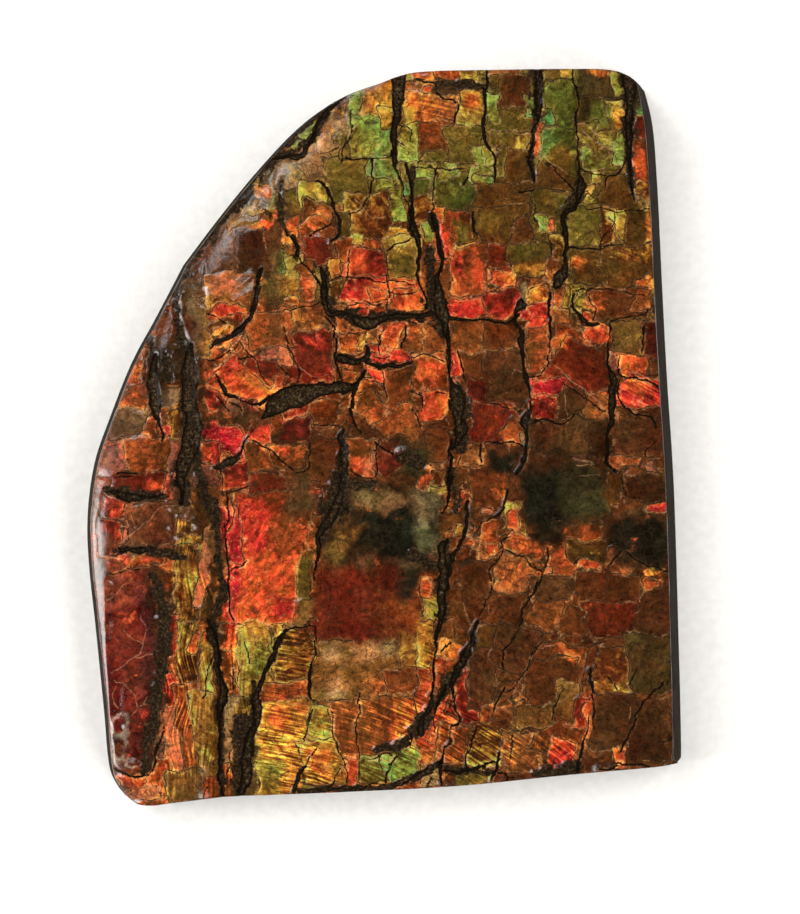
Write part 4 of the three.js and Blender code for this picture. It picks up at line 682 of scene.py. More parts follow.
# Shell that is ribbed by fine growth lines: (strength, x from, x to, y from, y to)
RIBBED = [
    (.25, 21.6, 32, 13, 28), (.4, 2, 12, 36, 41), (.9, -26, -15.4, -43, -22),
    (.7, -24.6, -19.6, -22, -9), (.9, -15.4, 11.6, -43, -30.6), (.6, -14.6, -8.6, -31, -22),
    (.9, 11, 24, -40, -34), (.7, 4, 6.4, -33, -18), (.5, 27.6, 33.4, 2, 8), (.5, -.6, 2.2, 10, 13.6),
]
GROWTH_CENTRE = (-21.5, -89)  # the growth lines are arcs round this point, below the slab
# left of these places, (y, ...) and (x, ...), the sheet stands on edge
ON_EDGE_FROM = ([-43, -31, -22], [-16.3, -14.9, -12.2])

# ---- Bare rock, where the shell has broken away: [(x, y, width), ...] for each stroke ----

MATRIX = [
    [(-20.2, -7.4, 1), (-19.6, -14.5, .9), (-19.1, -19.2, .9), (-20.3, -22.1, 1.3), (-20, -25.1, .8),
     (-19.4, -28.6, .7), (-19.1, -31, .8)], [(-6.9, 20, .7), (-6.9, 18, .8), (-6.4, 15.5, 1),
     (-5.6, 13, .6)], [(-5.8, 14.6, 1.1), (-2, 14.1, 1.9), (0, 14.3, 1.2), (4.5, 14.2, 1.3)],
    [(5.5, 22, 1), (5.6, 18, 1.5), (5.8, 15, 2.2), (7.3, 12, .9)], [(8.8, 6, 1), (9.2, 2, 2.2),
     (9.3, -1, 1.6)], [(-5, 9.6, .7), (-2.6, 9, .9), (0, 8.2, .4), (2, 8.4, .4)], [(-5, -2, .9),
     (-5.4, -5.4, 2), (-5.8, -7.4, 3), (-6.6, -9.6, 2.2), (-7.6, -12, 1)], [(-4, -5.4, 1.2),
     (-2.6, -5.6, 1), (-1, -5.2, .8)], [(3.4, -13.6, 1.4), (5.6, -15, 1.2), (7, -15.6, 1.6)],
    [(2.2, -2, 1.6), (4.4, -3, 1.4)], [(7.9, -2.4, .7), (8.2, -6, 1), (8.4, -8.6, .8)],
    # furrows and strata at the left, and the side of the sunken pane
    [(-24.8, 18, 1.1), (-24.4, 14, .9), (-23.6, 10.6, 1.5)], [(-27.8, 12, .8), (-27, 8.6, 1)],
    [(-25.6, 10, .8), (-25.2, 7, .9)], [(-23.8, 4, .9), (-23.2, 0, 1.1), (-24, -4, 2),
     (-23.6, -7.4, 1.2)], [(-22.6, 2, 1.2), (-22.4, -1, .8), (-21.2, -6.4, 1.4), (-20.4, -9, 1)],
    [(-33, -6.2, .8), (-30, -6.9, 1.6), (-27, -7.2, 1), (-25.4, -6.8, .8)], [(-32, -13.2, 1),
     (-29, -13.2, 1.2), (-25.6, -13.8, .9), (-23.4, -14.4, .6)], [(-27, -16.6, 1.4),
     (-26.3, -19.4, 1.7), (-26, -24.4, 1.7), (-26.7, -30, 1.6), (-27.6, -35, 1.4), (-28.4, -39.4, 1)],
    [(-19.4, -31, 1), (-19.2, -34, .9), (-19.4, -38, .8), (-19, -42.6, .9)], [(-17, -33.6, 1.6),
     (-17, -37, 1.8), (-17.2, -42, 2)], [(-15.4, -29, .8), (-15.6, -35, .8)], [(7.4, -12.4, .8),
     (7, -15.8, 1.8), (7, -19.6, 1.6), (6.6, -22.6, .9)], [(5.6, -31, 1.2), (4.6, -33.4, 1.6),
     (3.4, -35, 1.6), (1.4, -36.4, 1.2), (-1, -37, .6)], [(9.8, -25.6, 1.2), (8.6, -27.6, 1.8),
     (7.4, -28.8, 1.4), (6.2, -31.4, .8)], [(18, -39.6, 1), (20.4, -39.4, 1.6), (23, -38.8, .8)],
    [(7.6, -39.2, .9), (10, -39.2, .8), (12.4, -39.4, .8)], [(-10, -41.8, .6), (-4, -41.4, .7),
     (1.6, -41, .8), (4.6, -39.4, .9), (6.6, -38.6, .8)],
    # along the arc, outside the shell
    [(-24.6, 18.6, 1.2), (-22.2, 22, 1.6), (-19.4, 25.6, 1.8), (-16.6, 29.4, 1.8), (-13.4, 33, 1.7),
     (-10, 36.6, 1.2), (-7, 39, 1.3), (-4.4, 40.8, .9), (-1.6, 42.6, .6), (1, 43.6, .9)],
    [(-13.6, 33.4, 1.2), (-11, 33.6, 1), (-9.2, 34.6, 1), (-8, 36.6, 1.2), (-6.8, 38.6, 1)],
    [(-12.2, 30.6, .6), (-12.4, 27.4, .9), (-11.9, 25, .7), (-10.4, 23, .7), (-10.2, 21, .6)],
    [(3.4, 31.6, .9), (3.4, 29.4, .5), (3.2, 26.4, .8), (3.6, 24, 1)], [(17.9, 43.8, 1.5),
     (17.9, 40, 1.3), (17.8, 37.4, .8), (17.4, 34, .7), (17.4, 30.6, .8)], [(28.8, 43.8, 2),
     (28.9, 40, 1.8), (28.9, 36, 1.5), (29, 33, 1.2), (29.4, 29, .8)], [(23, 30.6, .9),
     (22.8, 28.6, 1.4), (21.6, 27, 1.1), (21.2, 24.6, 1)], [(5.8, 26.2, .9), (6.5, 23.6, .9),
     (6.9, 21.2, .8)], [(4, 42.2, .4), (7, 41.8, .8), (10.4, 41.6, 1.1), (12, 41.4, .5)],
    # the strip between the shell and the straight edge
    [(32.4, 42, .6), (32.8, 36, 1), (32.9, 30, 1.4), (33, 24, 1.6), (33, 18, 1.9), (33.2, 12, 1.8),
     (34, 6, 1.2), (34.6, -4, .8), (35, -16, .6)],
]

# ---- What the mesh carries for its material ----

# Kind of attribute, and the field that takes its values, by how many numbers a point has
STORES = {1: ("FLOAT", "value"), 3: ("FLOAT_VECTOR", "vector"), 4: ("FLOAT_COLOR", "color")}
# The output that reads each attribute
MESH_FIELDS = dict.fromkeys(("film", "life", "ribbed", "matrix", "joint", "rise", "crushed",
                             "hollow", "bead", "below_lip"), "Fac")
MESH_FIELDS.update(ground="Color", flake="Vector", growth="Vector")

# ---- Shapes ----


def noise(x, y, size, seed):
    """Smooth random field from 0 to 1: random values at the corners of square cells of that size,
    blended across each cell by a smoothstep in both directions."""
    table = np.random.default_rng(seed).random((128, 128))
    gx, gy = x / size + 512, y / size + 512
    column, row = np.floor(gx).astype(int), np.floor(gy).astype(int)
    fx, fy = gx - column, gy - row
    fx, fy = fx * fx * (3 - 2 * fx), fy * fy * (3 - 2 * fy)
    low, high = (table[r % 128, column % 128] * (1 - fx) + table[r % 128, (column + 1) % 128] * fx
                 for r in (row, row + 1))
    return low * (1 - fy) + high * fy


def shake(x, y, at_x, at_y, waves):
    """x and y moved by noises that are read at at_x and at_y, as far as each wave says."""
    for reach, size, seed_x, seed_y in waves:
        x = x + reach * (noise(at_x, at_y, size, seed_x) - 0.5)
        y = y + reach * (noise(at_x, at_y, size, seed_y) - 0.5)
    return x, y


def step_between(low, high, value):
    """Smoothstep: 0 below low, 1 above high, and 3t^2 - 2t^3 between."""
    t = np.clip((value - low) / (high - low), 0, 1)
    return t * t * (3 - 2 * t)


def smooth_path(points, count=None, step=None):
    """Catmull-Rom curve through the points, then cut evenly by its length, into count parts or
    into parts of about the length step. Columns past x and y, such as a width, go along."""
    points = np.array(points, float)
    padded = np.vstack([points[:1], points, points[-1:]])
    t = np.linspace(0, 1, 24, endpoint=False)[:, None]
    spans = []
    for p0, p1, p2, p3 in zip(padded, padded[1:], padded[2:], padded[3:]):
        spans.append(p1 + 0.5 * t * (p2 - p0) + t ** 2 * (p0 - 2.5 * p1 + 2 * p2 - 0.5 * p3)
                     + t ** 3 * (1.5 * (p1 - p2) + 0.5 * (p3 - p0)))
    dense = np.vstack(spans + [points[-1:]])
    length = np.r_[0, np.cumsum(np.hypot(*np.diff(dense[:, :2], axis=0).T))]
    parts = count or max(2, int(round(length[-1] / step)))
    even = np.linspace(0, length[-1], parts + 1)
    return np.column_stack([np.interp(even, length, column) for column in dense.T])


def near_path(x, y, path):
    """For every point: its distance from the path, the side it is on (1 left, -1 right), the
    path's third column beside it, and how far it lies past either end."""
    distance = np.full(x.shape, np.inf)
    side, third, past = np.ones(x.shape), np.zeros(x.shape), np.zeros(x.shape)
    final = len(path) - 2
    for i, (a, b) in enumerate(zip(path, path[1:])):
        dx, dy = b[0] - a[0], b[1] - a[1]
        length = np.hypot(dx, dy)
        along = ((x - a[0]) * dx + (y - a[1]) * dy) / length ** 2
        held = np.clip(along, 0, 1)
        ex, ey = x - a[0] - held * dx, y - a[1] - held * dy
        d = np.hypot(ex, ey)
        nearer = d < distance
        distance = np.where(nearer, d, distance)
        side = np.where(nearer, np.where(dx * ey - dy * ex < 0, -1, 1), side)
        if path.shape[1] > 2:
            third = np.where(nearer, a[2] + held * (b[2] - a[2]), third)
        over = np.zeros(x.shape)
        if i == 0:
            over = np.maximum(over, -along * length)
        if i == final:
            over = np.maximum(over, (along - 1) * length)
        past = np.where(nearer, over, past)
    return distance, side, third, past


def distance_to(x, y, points):
    """Distance from every point to a run of straight segments."""
    return near_path(x, y, np.array(points, float))[0]


def around(x, y, path, margin):
    """Whether each point lies in the box round the path, widened by the margin."""
    low, high = path[:, :2].min(axis=0) - margin, path[:, :2].max(axis=0) + margin
    return (x > low[0]) & (x < high[0]) & (y > low[1]) & (y < high[1])


def inside(x, y, polygon):
    """Whether each point lies in the polygon, by counting the edges to its right."""
    odd = np.zeros(x.shape, bool)
    for (ax, ay), (bx, by) in zip(polygon, polygon[1:] + polygon[:1]):
        crosses = (ay > y) != (by > y)
        odd ^= crosses & (x < ax + (y - ay) / ((by - ay) or 1e-9) * (bx - ax))
    return odd


def outward(loop):
    """The direction a closed loop faces at each point, at right angles to the line between the
    point's neighbours."""
    run = np.roll(loop, -1, axis=0) - np.roll(loop, 1, axis=0)
    return np.column_stack([run[:, 1], -run[:, 0]]) / np.hypot(*run.T)[:, None]


def inset(loop, width_facing):
    """A closed loop moved inwards at each point, by a width that depends on where it faces."""
    out = outward(loop)
    return loop - out * width_facing(out[:, 0])[:, None]


def bevel(out_x):
    """Width of the sloping side, from how far it faces right or left."""
    side = np.where(out_x > 0, BEVEL_RIGHT, BEVEL_LEFT)
    return BEVEL_TOP_BOTTOM + (side - BEVEL_TOP_BOTTOM) * out_x ** 2


def refine(loop):
    """Each of the loop's four sides drawn again as a smooth curve with FINER times its points."""
    corners = np.cumsum([0, SPANS_ACROSS, SPANS_ALONG, SPANS_ACROSS, SPANS_ALONG])
    closed = np.vstack([loop, loop[:1]])
    sides = [closed[a:b + 1] for a, b in zip(corners, corners[1:])]
    return np.vstack([smooth_path(side, count=FINER * (len(side) - 1))[:-1] for side in sides])


COARSE_OUTER = np.vstack([
    smooth_path(BOTTOM_SIDE, count=SPANS_ACROSS)[:-1],
    smooth_path(RIGHT_SIDE, count=SPANS_ALONG)[:-1],
    smooth_path(TOP_SIDE, count=SPANS_ACROSS)[::-1][:-1],
    smooth_path(LEFT_SIDE, count=SPANS_ALONG)[::-1][:-1],
])
FACE_LOOP = refine(inset(COARSE_OUTER, bevel))
OUTER_LOOP = refine(COARSE_OUTER)
FOOT_LOOP = refine(inset(COARSE_OUTER, lambda out_x: np.full(out_x.shape, FOOT_INSET)))
ACROSS, ALONG = SPANS_ACROSS * FINER, SPANS_ALONG * FINER


def face_grid():
    """Coons patch: each point of the face is the blend of the points across from it on the
    bottom and top sides, plus that of the left and right sides, less that of the corners."""
    loop = np.vstack([FACE_LOOP, FACE_LOOP[:1]])
    bottom = loop[:ACROSS + 1]
    right = loop[ACROSS:ACROSS + ALONG + 1]
    top = loop[ACROSS + ALONG:2 * ACROSS + ALONG + 1][::-1]
    left = loop[2 * ACROSS + ALONG:][::-1]
    u = np.linspace(0, 1, ACROSS + 1)[None, :, None]
    v = np.linspace(0, 1, ALONG + 1)[:, None, None]
    grid = ((1 - v) * bottom[None] + v * top[None] + (1 - u) * left[:, None] + u * right[:, None]
            - (1 - u) * (1 - v) * bottom[0] - u * (1 - v) * bottom[-1]
            - u * v * top[-1] - (1 - u) * v * top[0])
    return grid[..., 0], grid[..., 1]


def broad_height(x, y):
    """The solid's own face: the level, less a quarter of an ellipse at the shoulder and a parabola
    at the edges, plus Gaussian swells, less Gaussian troughs and the sunken pane. The clear coat
    adds blisters, domes with a dent in the middle, and beads, cones along short lines. Also how
    far each point is out of the polishing wheel's reach, and how far it is wet-looking bead."""
    shoulder = np.clip(1 - distance_to(x, y, LEFT_SIDE + TOP_SIDE[1:6]) / SHOULDER_REACH, 0, 1)
    edge = np.clip(1 - distance_to(x, y, np.vstack([COARSE_OUTER, COARSE_OUTER[:1]]))
                   / EDGE_ROUND_REACH, 0, 1)
    height = FACE_LEVEL - SHOULDER_DROP * (1 - np.sqrt(1 - shoulder ** 2))
    height = height - EDGE_ROUND_DROP * edge ** 2
    for cx, cy, rx, ry, rise in SWELLS:
        height = height + rise * np.exp(-((x - cx) / rx) ** 2 - ((y - cy) / ry) ** 2)
    trough = np.zeros(x.shape)
    for points, reach, depth in TROUGHS:
        trough = np.maximum(trough, depth * np.exp(-(distance_to(x, y, points) / reach) ** 2))
    to_rim = distance_to(x, y, WINDOW_RIM + WINDOW_RIM[:1])
    in_pane = inside(x, y, WINDOW_RIM)
    pane = WINDOW_DEPTH * step_between(0, WINDOW_SLOPE, to_rim)
    for bx, by, half_wide, half_tall, rise in BLISTERS:
        from_middle = np.hypot((x - bx) / half_wide, (y - by) / half_tall)
        dent = 0.5 * step_between(0.5, 0, from_middle)
        height = height + rise * step_between(1, 0.55, from_middle) * (1 - dent)
    bead, lift = np.zeros(x.shape), np.zeros(x.shape)
    for half_wide, rise, points in BEADS:
        away = distance_to(x, y, points)
        lift = np.maximum(lift, rise * np.clip(1 - away / half_wide, 0, 1))
        bead = np.maximum(bead, step_between(1.2 * half_wide, 0.9 * half_wide, away))
    bead = np.maximum(bead, WET_SHARE * box_mask(x, y, *WET_ROCK, soft=1.5))
    unpolished = step_between(*WHEEL_REACH, trough)
    wall = step_between(*WALL_REACH, to_rim) * (x > WALL_FROM) * (in_pane | (to_rim < WALL_OUTSIDE))
    height = height + lift - trough * (1 - bead) - np.where(in_pane, pane, 0)
    return height, np.maximum(unpolished, wall) * (1 - bead), bead


# ---- Cracks as fields ----

def crack_fields(x, y, strokes, count):
    """Shares the strokes, each (depth, [(x, y, width), ...]), among count layers. A layer holds
    the signed distance from its crack's middle line, half the crack's width, and 1, or 0 where
    there is no crack near. Distance less half width is the crack's edge, sharp at any zoom. Also
    the depth of the grooves, which slopes from 0 at the edge to the crack's depth in the middle."""
    layers = np.zeros((count, 3) + x.shape)
    groove = np.zeros(x.shape)
    for depth, points in strokes:
        path = smooth_path(points, step=0.5)
        near = around(x, y, path, path[:, 2].max() / 2 + CRACK_REACH + 0.5)
        distance, side, width, past = near_path(x[near], y[near], path)
        half = width / 2 - past
        edge = distance - half
        zone = np.zeros(x.shape, bool)
        zone[near] = (edge < CRACK_REACH) & (past < FREE_END)
        clash = [(layers[k, 2] * zone).sum() for k in range(count)]
        layer = layers[int(np.argmin(clash))]
        signed, halves = np.zeros(x.shape), np.zeros(x.shape)
        signed[near], halves[near] = side * distance, half
        crowded = zone & (layer[2] > 0)
        if (signed[crowded] * layer[0][crowded]).sum() < 0:
            signed = -signed
        keep = zone & ~(crowded & (np.abs(layer[0]) - layer[1] < np.abs(signed) - halves))
        layer[0][keep], layer[1][keep], layer[2][keep] = signed[keep], halves[keep], 1
        slope = (CRACK_LIP - edge) / (CRACK_LIP + 0.6 * np.maximum(half, 0.05))
        wall = np.zeros(x.shape)
        wall[near] = depth * np.clip(slope, 0, 1)
        groove = np.maximum(groove, wall)
    return layers, groove


def matrix_field(x, y):
    """How surely the dark rock shows: 1 on the middle line of a stroke, 0.5 at its edge and 0 at
    twice its half width, so that a noise can roughen where the shell ends."""
    field = np.zeros(x.shape)
    for points in MATRIX:
        path = smooth_path(points, step=0.8)
        near = around(x, y, path, path[:, 2].max() + 0.5)
        distance, side, width, past = near_path(x[near], y[near], path)
        field[near] = np.maximum(field[near], 1 - distance / np.maximum(width, 0.1))
    return field


# ---- Colour zones as fields ----

def linear(hex_colour):
    """sRGB hex colour to linear red, green and blue."""
    value = np.array([int(hex_colour[i:i + 2], 16) / 255 for i in (1, 3, 5)])
    return np.where(value <= 0.04045, value / 12.92, ((value + 0.055) / 1.055) ** 2.4)


def box_mask(x, y, x0, x1, y0, y1, turn=0.0, soft=0.2):
    """1 inside a turned box with rounded corners, 0 outside, and a smoothstep across its edge.
    The rounding is the super-ellipse |x/a|^6 + |y/b|^6 = 1."""
    angle = np.radians(turn)
    ox, oy = x - (x0 + x1) / 2, y - (y0 + y1) / 2
    a, b = (x1 - x0) / 2, (y1 - y0) / 2
    rx = np.abs(ox * np.cos(angle) + oy * np.sin(angle)) / a
    ry = np.abs(oy * np.cos(angle) - ox * np.sin(angle)) / b
    reach = (rx ** 6 + ry ** 6) ** (1 / 6)
    blur = soft / min(a, b) + 0.03
    return step_between(1 + blur, 1 - blur, reach)


def plate_shape(x, y, k, x0, x1, y0, y1, turn=0.0):
    """Distance in mm inside a four-sided plate with rounded corners, negative outside, and how far
    up its tilt a point lies, from -1 to 1. The plate is its box widened by PLATE_SPREAD, and its
    number k settles how much it leans and tapers, up to about a sixth, and which way it tilts."""
    angle = np.radians(turn)
    ox, oy = x - (x0 + x1) / 2, y - (y0 + y1) / 2
    a, b = (x1 - x0) / 2 + PLATE_SPREAD, (y1 - y0) / 2 + PLATE_SPREAD
    across = ox * np.cos(angle) + oy * np.sin(angle)
    up = oy * np.cos(angle) - ox * np.sin(angle)
    across = across + 0.16 * np.sin(2.4 * k) * up
    across = across / (1 + 0.16 * np.sin(4.1 * k + 1) * np.clip(up / b, -1, 1))
    corner = 0.06 * min(a, b)
    qx, qy = np.abs(across) - a + corner, np.abs(up) - b + corner
    depth = corner - np.hypot(np.maximum(qx, 0), np.maximum(qy, 0)) - np.minimum(np.maximum(qx, qy), 0)
    rise = np.clip(across / a * np.cos(2.4 * k) + up / b * np.sin(2.4 * k), -1, 1)
    return depth, rise


def broken_cells(x, y, wide, tall, seed):
    """Cells round jittered points of a grid, nearest by the cube distance (|x|^3 + |y|^3)^(1/3),
    which makes them rather square. Three random values and the tilt of each point's cell, and half
    the difference between the two nearest distances, which is the distance to the cell's edge."""
    table = np.random.default_rng(seed).random((64, 64, 5))
    gx, gy = x / wide + 512, y / tall + 512
    column, row = np.floor(gx).astype(int), np.floor(gy).astype(int)
    best, second = np.full(x.shape, 9.0), np.full(x.shape, 9.0)
    values, tilt = np.zeros(x.shape + (3,)), np.zeros(x.shape)
    for step_y in (-1, 0, 1):
        for step_x in (-1, 0, 1):
            cell = table[(row + step_y) % 64, (column + step_x) % 64]
            px = (gx - column - step_x - 0.1 - 0.8 * cell[..., 0]) * wide
            py = (gy - row - step_y - 0.1 - 0.8 * cell[..., 1]) * tall
            away = (np.abs(px) ** 3 + np.abs(py) ** 3) ** (1 / 3)
            closer = away < best
            second = np.where(closer, best, np.minimum(second, away))
            best = np.where(closer, away, best)
            values[closer] = cell[closer][:, 2:]
            angle = FULL_TURN * cell[..., 3]
            leaning = px / wide * np.cos(angle) + py / tall * np.sin(angle)
            tilt = np.where(closer, np.clip(1.4 * leaning, -1, 1), tilt)
    return values, tilt, (second - best) / 2


def paint(fields, mask, new):
    """Each field moved towards its new value by the mask."""
    for field, value in zip(fields, new):
        field += (value - field) * (mask[..., None] if field.ndim > mask.ndim else mask)


def paint_look(shell, look, mask):
    """The shell's film, life and ground moved towards a look by the mask."""
    hue, alive, colour = LOOKS[look]
    paint((shell.film, shell.life, shell.ground), mask, (hue, alive, linear(colour)))


def broken_regions(x, y):
    """The shell before any single plate: broad regions, then broken cells, small where the shell
    is crushed, which shift the film, the life, the ground colour and the tilt; life and ground are
    painted brighter up each cell's tilt, as painted light."""
    shell = SimpleNamespace(film=np.full(x.shape, FLAME), life=np.full(x.shape, 0.3),
                            ground=np.tile(linear(UMBER), x.shape + (1,)))
    for look, *box in REGIONS:
        paint_look(shell, look, box_mask(x, y, *box, soft=1.2))
    crushed = 0.8 * noise(x, y, 5, 21)
    for box in CRUSHED:
        crushed = np.maximum(crushed, box_mask(x, y, *box, soft=1.5))
    coarse, coarse_tilt, joint = broken_cells(x, y, *COARSE_CELL, 31)
    small, small_tilt, small_joint = broken_cells(x, y, *SMALL_CELL, 32)
    shell.crushed = step_between(0.45, 0.6, crushed)
    shell.joint = np.where(shell.crushed > 0.5, np.minimum(joint, small_joint), joint)
    cell = coarse + (small - 0.5) * 0.8 * shell.crushed[..., None]
    tilt = coarse_tilt * (1 - shell.crushed) + small_tilt * shell.crushed
    shell.film += 0.16 * (cell[..., 0] - 0.5)
    # painted light: life and ground are raised up each cell's tilt
    shell.life += 0.55 * (cell[..., 1] - 0.5) + 0.12 * tilt
    shell.ground *= (0.75 + 0.5 * cell[..., 2] + 0.15 * tilt)[..., None]
    shell.rise = 0.6 * tilt
    shell.heading = FULL_TURN * coarse[..., 0]
    shell.seams = np.zeros((SEAM_LAYERS, 3) + x.shape)
    return shell


def lay_plates(x, y, shell):
    """Each single plate laid over the shell, a little brighter, livelier and thinner in film up
    its tilt, by sines of its number: the brighter side up its tilt is painted light. It hides the
    joints and seams under it, and its own outline goes into the layer of seams that has least near it."""
    for k, (look, *box) in enumerate(PLATES):
        hue, alive, colour = LOOKS[look]
        wide, tall = box[1] - box[0], box[3] - box[2]
        reach = 0.75 * max(wide, tall) + 1
        near = ((np.abs(x - (box[0] + box[1]) / 2) < reach)
                & (np.abs(y - (box[2] + box[3]) / 2) < reach))
        depth, up = plate_shape(x[near], y[near], k, *box)
        # bright plates end sharply, and dull ones pass into one another
        soft = 0.05 + (0.025 if alive > 0.3 else 0.09) * min(wide, tall)
        mask, slope, signed = np.zeros(x.shape), np.zeros(x.shape), np.zeros(x.shape)
        mask[near], slope[near], signed[near] = step_between(-soft, soft, depth), up, depth
        # a tone of its own by a sine of its number, and painted light: brighter and livelier up its
        # tilt
        tone_and_lit_side = (0.9 + 0.16 * np.sin(7.3 * k) + 0.18 * slope)[..., None]
        paint((shell.film, shell.life, shell.ground, shell.rise), mask,
              (hue + 0.03 * np.sin(5.1 * k) + 0.08 * slope, alive * (0.92 + 0.26 * slope),
               linear(colour) * tone_and_lit_side, slope))
        shell.crushed *= 1 - 0.7 * mask
        shell.joint[near] = np.where(depth > 0, FAR_JOINT, shell.joint[near])
        shell.heading[near] = np.where(depth > 0, FULL_TURN * np.sin(12.9 * k), shell.heading[near])
        zone = np.zeros(x.shape, bool)
        zone[near] = np.abs(depth) < SEAM_REACH
        shell.seams[:, 2] *= mask <= 0.5
        layer = shell.seams[int(np.argmin((shell.seams[:, 2] * zone).sum(axis=1)))]
        layer[0][zone], layer[2][zone] = signed[zone], 1


def lay_stains(x, y, shell):
    """Glows inside the plates, then stains with cloudy edges, which dull the film and hide the joints,
    and pale rings painted round the blisters, a painted highlight of their glare."""
    for look, *box in GLOWS:
        paint_look(shell, look, box_mask(x, y, *box, soft=0.5))
    cloud_x, cloud_y = shake(x, y, x, y, CLOUD_SHAKE)
    for colour, strength, *box in STAINS:
        mask = box_mask(cloud_x, cloud_y, *box, soft=0.8) * strength
        paint((shell.ground,), mask, (linear(colour),))
        shell.life *= 1 - mask * (1.1 if colour in STAIN_KILLS else 0.75)
        shell.joint += 2 * mask
        shell.seams[:, 2] *= mask < 0.6
    # painted highlight: a pale ring of glare round each blister
    for bx, by, half_wide, half_tall, _ in BLISTERS:
        ring = np.abs(np.hypot((x - bx) / half_wide, (y - by) / half_tall) - 0.85)
        paint((shell.ground,), 0.75 * step_between(0.3, 0.05, ring), (linear(BLISTER_GLARE),))


def colour_fields(x, y):
    """The shell's fields: film, life, ground colour, ribbed, joint (distance to the nearest joint
    between cells), rise (how far up its plate's tilt a point stands), crushed, seams (layers of
    the plates' outlines) and flake (where a point lies along and across its plate's own streaks,
    and their heading). A mottle then shades the ground, its red least."""
    shell = broken_regions(x, y)
    lay_plates(x, y, shell)
    lay_stains(x, y, shell)
    shell.joint = np.minimum(shell.joint, FAR_JOINT)
    mottle = noise(x, y, 2.6, 13)
    shell.ground *= np.stack([0.75 + 0.5 * mottle, 0.65 + 0.7 * mottle, 0.65 + 0.7 * mottle], axis=-1)
    shell.ribbed = np.zeros(x.shape)
    for strength, *box in RIBBED:
        paint((shell.ribbed,), box_mask(x, y, *box, soft=1.5), (strength,))
    heading = shell.heading
    shell.flake = np.column_stack([0.6 * (x * np.cos(heading) + y * np.sin(heading)),
                                   1.7 * (y * np.cos(heading) - x * np.sin(heading)), heading])
    return shell


# ---- The slab's mesh ----

def side_rings(lip_height):
    """Rings from the lip down to the foot. Each point lies on the line from the lip by the flank
    to the base, at the ring's share of the drop, moved in by a noise of up to 0.4 mm."""
    rings = []
    base = np.column_stack([OUTER_LOOP, np.full(len(OUTER_LOOP), FOOT_HEIGHT)])
    lip = np.column_stack([FACE_LOOP, lip_height])
    flank = np.column_stack([FACE_LOOP + (OUTER_LOOP - FACE_LOOP) * FLANK_OUT,
                             np.full(len(OUTER_LOOP), FLANK_HEIGHT)])
    out = outward(OUTER_LOOP)
    along = np.arange(len(OUTER_LOOP)) * OUTLINE_SPACING
    for share in SIDE_LEVELS:
        height = lip_height + (FOOT_HEIGHT - lip_height) * share
        upper = np.clip((lip_height - height) / np.maximum(lip_height - FLANK_HEIGHT, 1e-3), 0, 1)
        lower = np.clip((FLANK_HEIGHT - height) / (FLANK_HEIGHT - FOOT_HEIGHT), 0, 1)
        ring = np.where((height > FLANK_HEIGHT)[:, None], lip + (flank - lip) * upper[:, None],
                        flank + (base - flank) * lower[:, None])
        rough = (0.3 * noise(along, height * 3, 2.2, 31) + 0.12 * noise(along, height * 5, 0.7, 32))
        rough *= np.sin(np.pi * np.clip(share * 1.1, 0, 1))
        rings.append(np.column_stack([ring[:, :2] - out * rough[:, None], height]))
    rings.append(base)
    rings.append(np.column_stack([FOOT_LOOP, np.zeros(len(FOOT_LOOP))]))
    return rings


def face_relief(x, y):
    """Height of the face: the broad height, plus plates that sit and tilt by a tenth of a
    millimetre and dip at their seams, less the cracks' grooves and the broken-out rock, with
    rubble in both. Also the shell's fields, with those of the rock, the polish and the lines."""
    broad, hollow, bead = broad_height(x, y)
    line_x, line_y = shake(x, y, x, y, EDGE_SHAKE)
    cracks = CRACKS + [(HAIRLINE_DEPTH, [(px, py, width) for px, py in line])
                       for width, lines in HAIRLINES.items() for line in lines]
    veins = [(0, [(px, py, VEIN_WIDTH) for px, py in line]) for line in VEINS]
    cracks, groove = crack_fields(line_x, line_y, cracks, CRACK_LAYERS)
    matrix = matrix_field(line_x, line_y)
    shell = colour_fields(*shake(line_x, line_y, x, y, PLATE_SHAKE))
    shell.hollow, shell.bead, shell.matrix, shell.crack = hollow, bead, matrix, cracks
    shell.vein = crack_fields(line_x, line_y, veins, VEIN_LAYERS)[0]
    seam = np.where(shell.seams[:, 2] > 0, np.abs(shell.seams[:, 0]), FAR).min(axis=0)
    plate = PLATE_SWAY * (noise(x, y, 3.4, 5) - 1) + PLATE_TILT * (shell.rise - 1)
    plate = plate - SEAM_DIP * step_between(0.35, 0.0, np.minimum(shell.joint, seam))
    sunk = step_between(0.35, 0.7, matrix + 0.4 * (noise(x, y, 0.9, 15) - 0.5))
    rubble = RUBBLE * np.maximum(groove, 0.5 * sunk) * (noise(x, y, 0.55, 8) - 0.5)
    z = broad + plate - GROOVE_SHARE * groove - ROCK_DROP * sunk + np.minimum(rubble, 0.3)
    return np.minimum(z, TOP_OF_SLAB - CLEARANCE), shell


def growth_lines(x, y):
    """Distance across the growth lines and along them, in mm, and 0. They are arcs round one
    centre, but in the sheet that stands on edge they run up the slab, swaying by a noise."""
    ox, oy = x - GROWTH_CENTRE[0], y - GROWTH_CENTRE[1]
    on_edge = x < np.interp(y, *ON_EDGE_FROM)
    across = np.where(on_edge, x + 1.6 * noise(x, y, 5, 16), np.hypot(ox, oy))
    along = np.where(on_edge, 0.5 * y, np.arctan2(ox, oy) * 60)
    return np.column_stack([across, along, np.zeros(len(x))])


def store(mesh, name, values):
    """One number, vector or colour for each point, put into the mesh for the material to read."""
    kind, field = STORES[values[0].size]
    made = mesh.attributes.new(name, kind, "POINT")
    made.data.foreach_set(field, np.ascontiguousarray(values, np.float32).ravel())


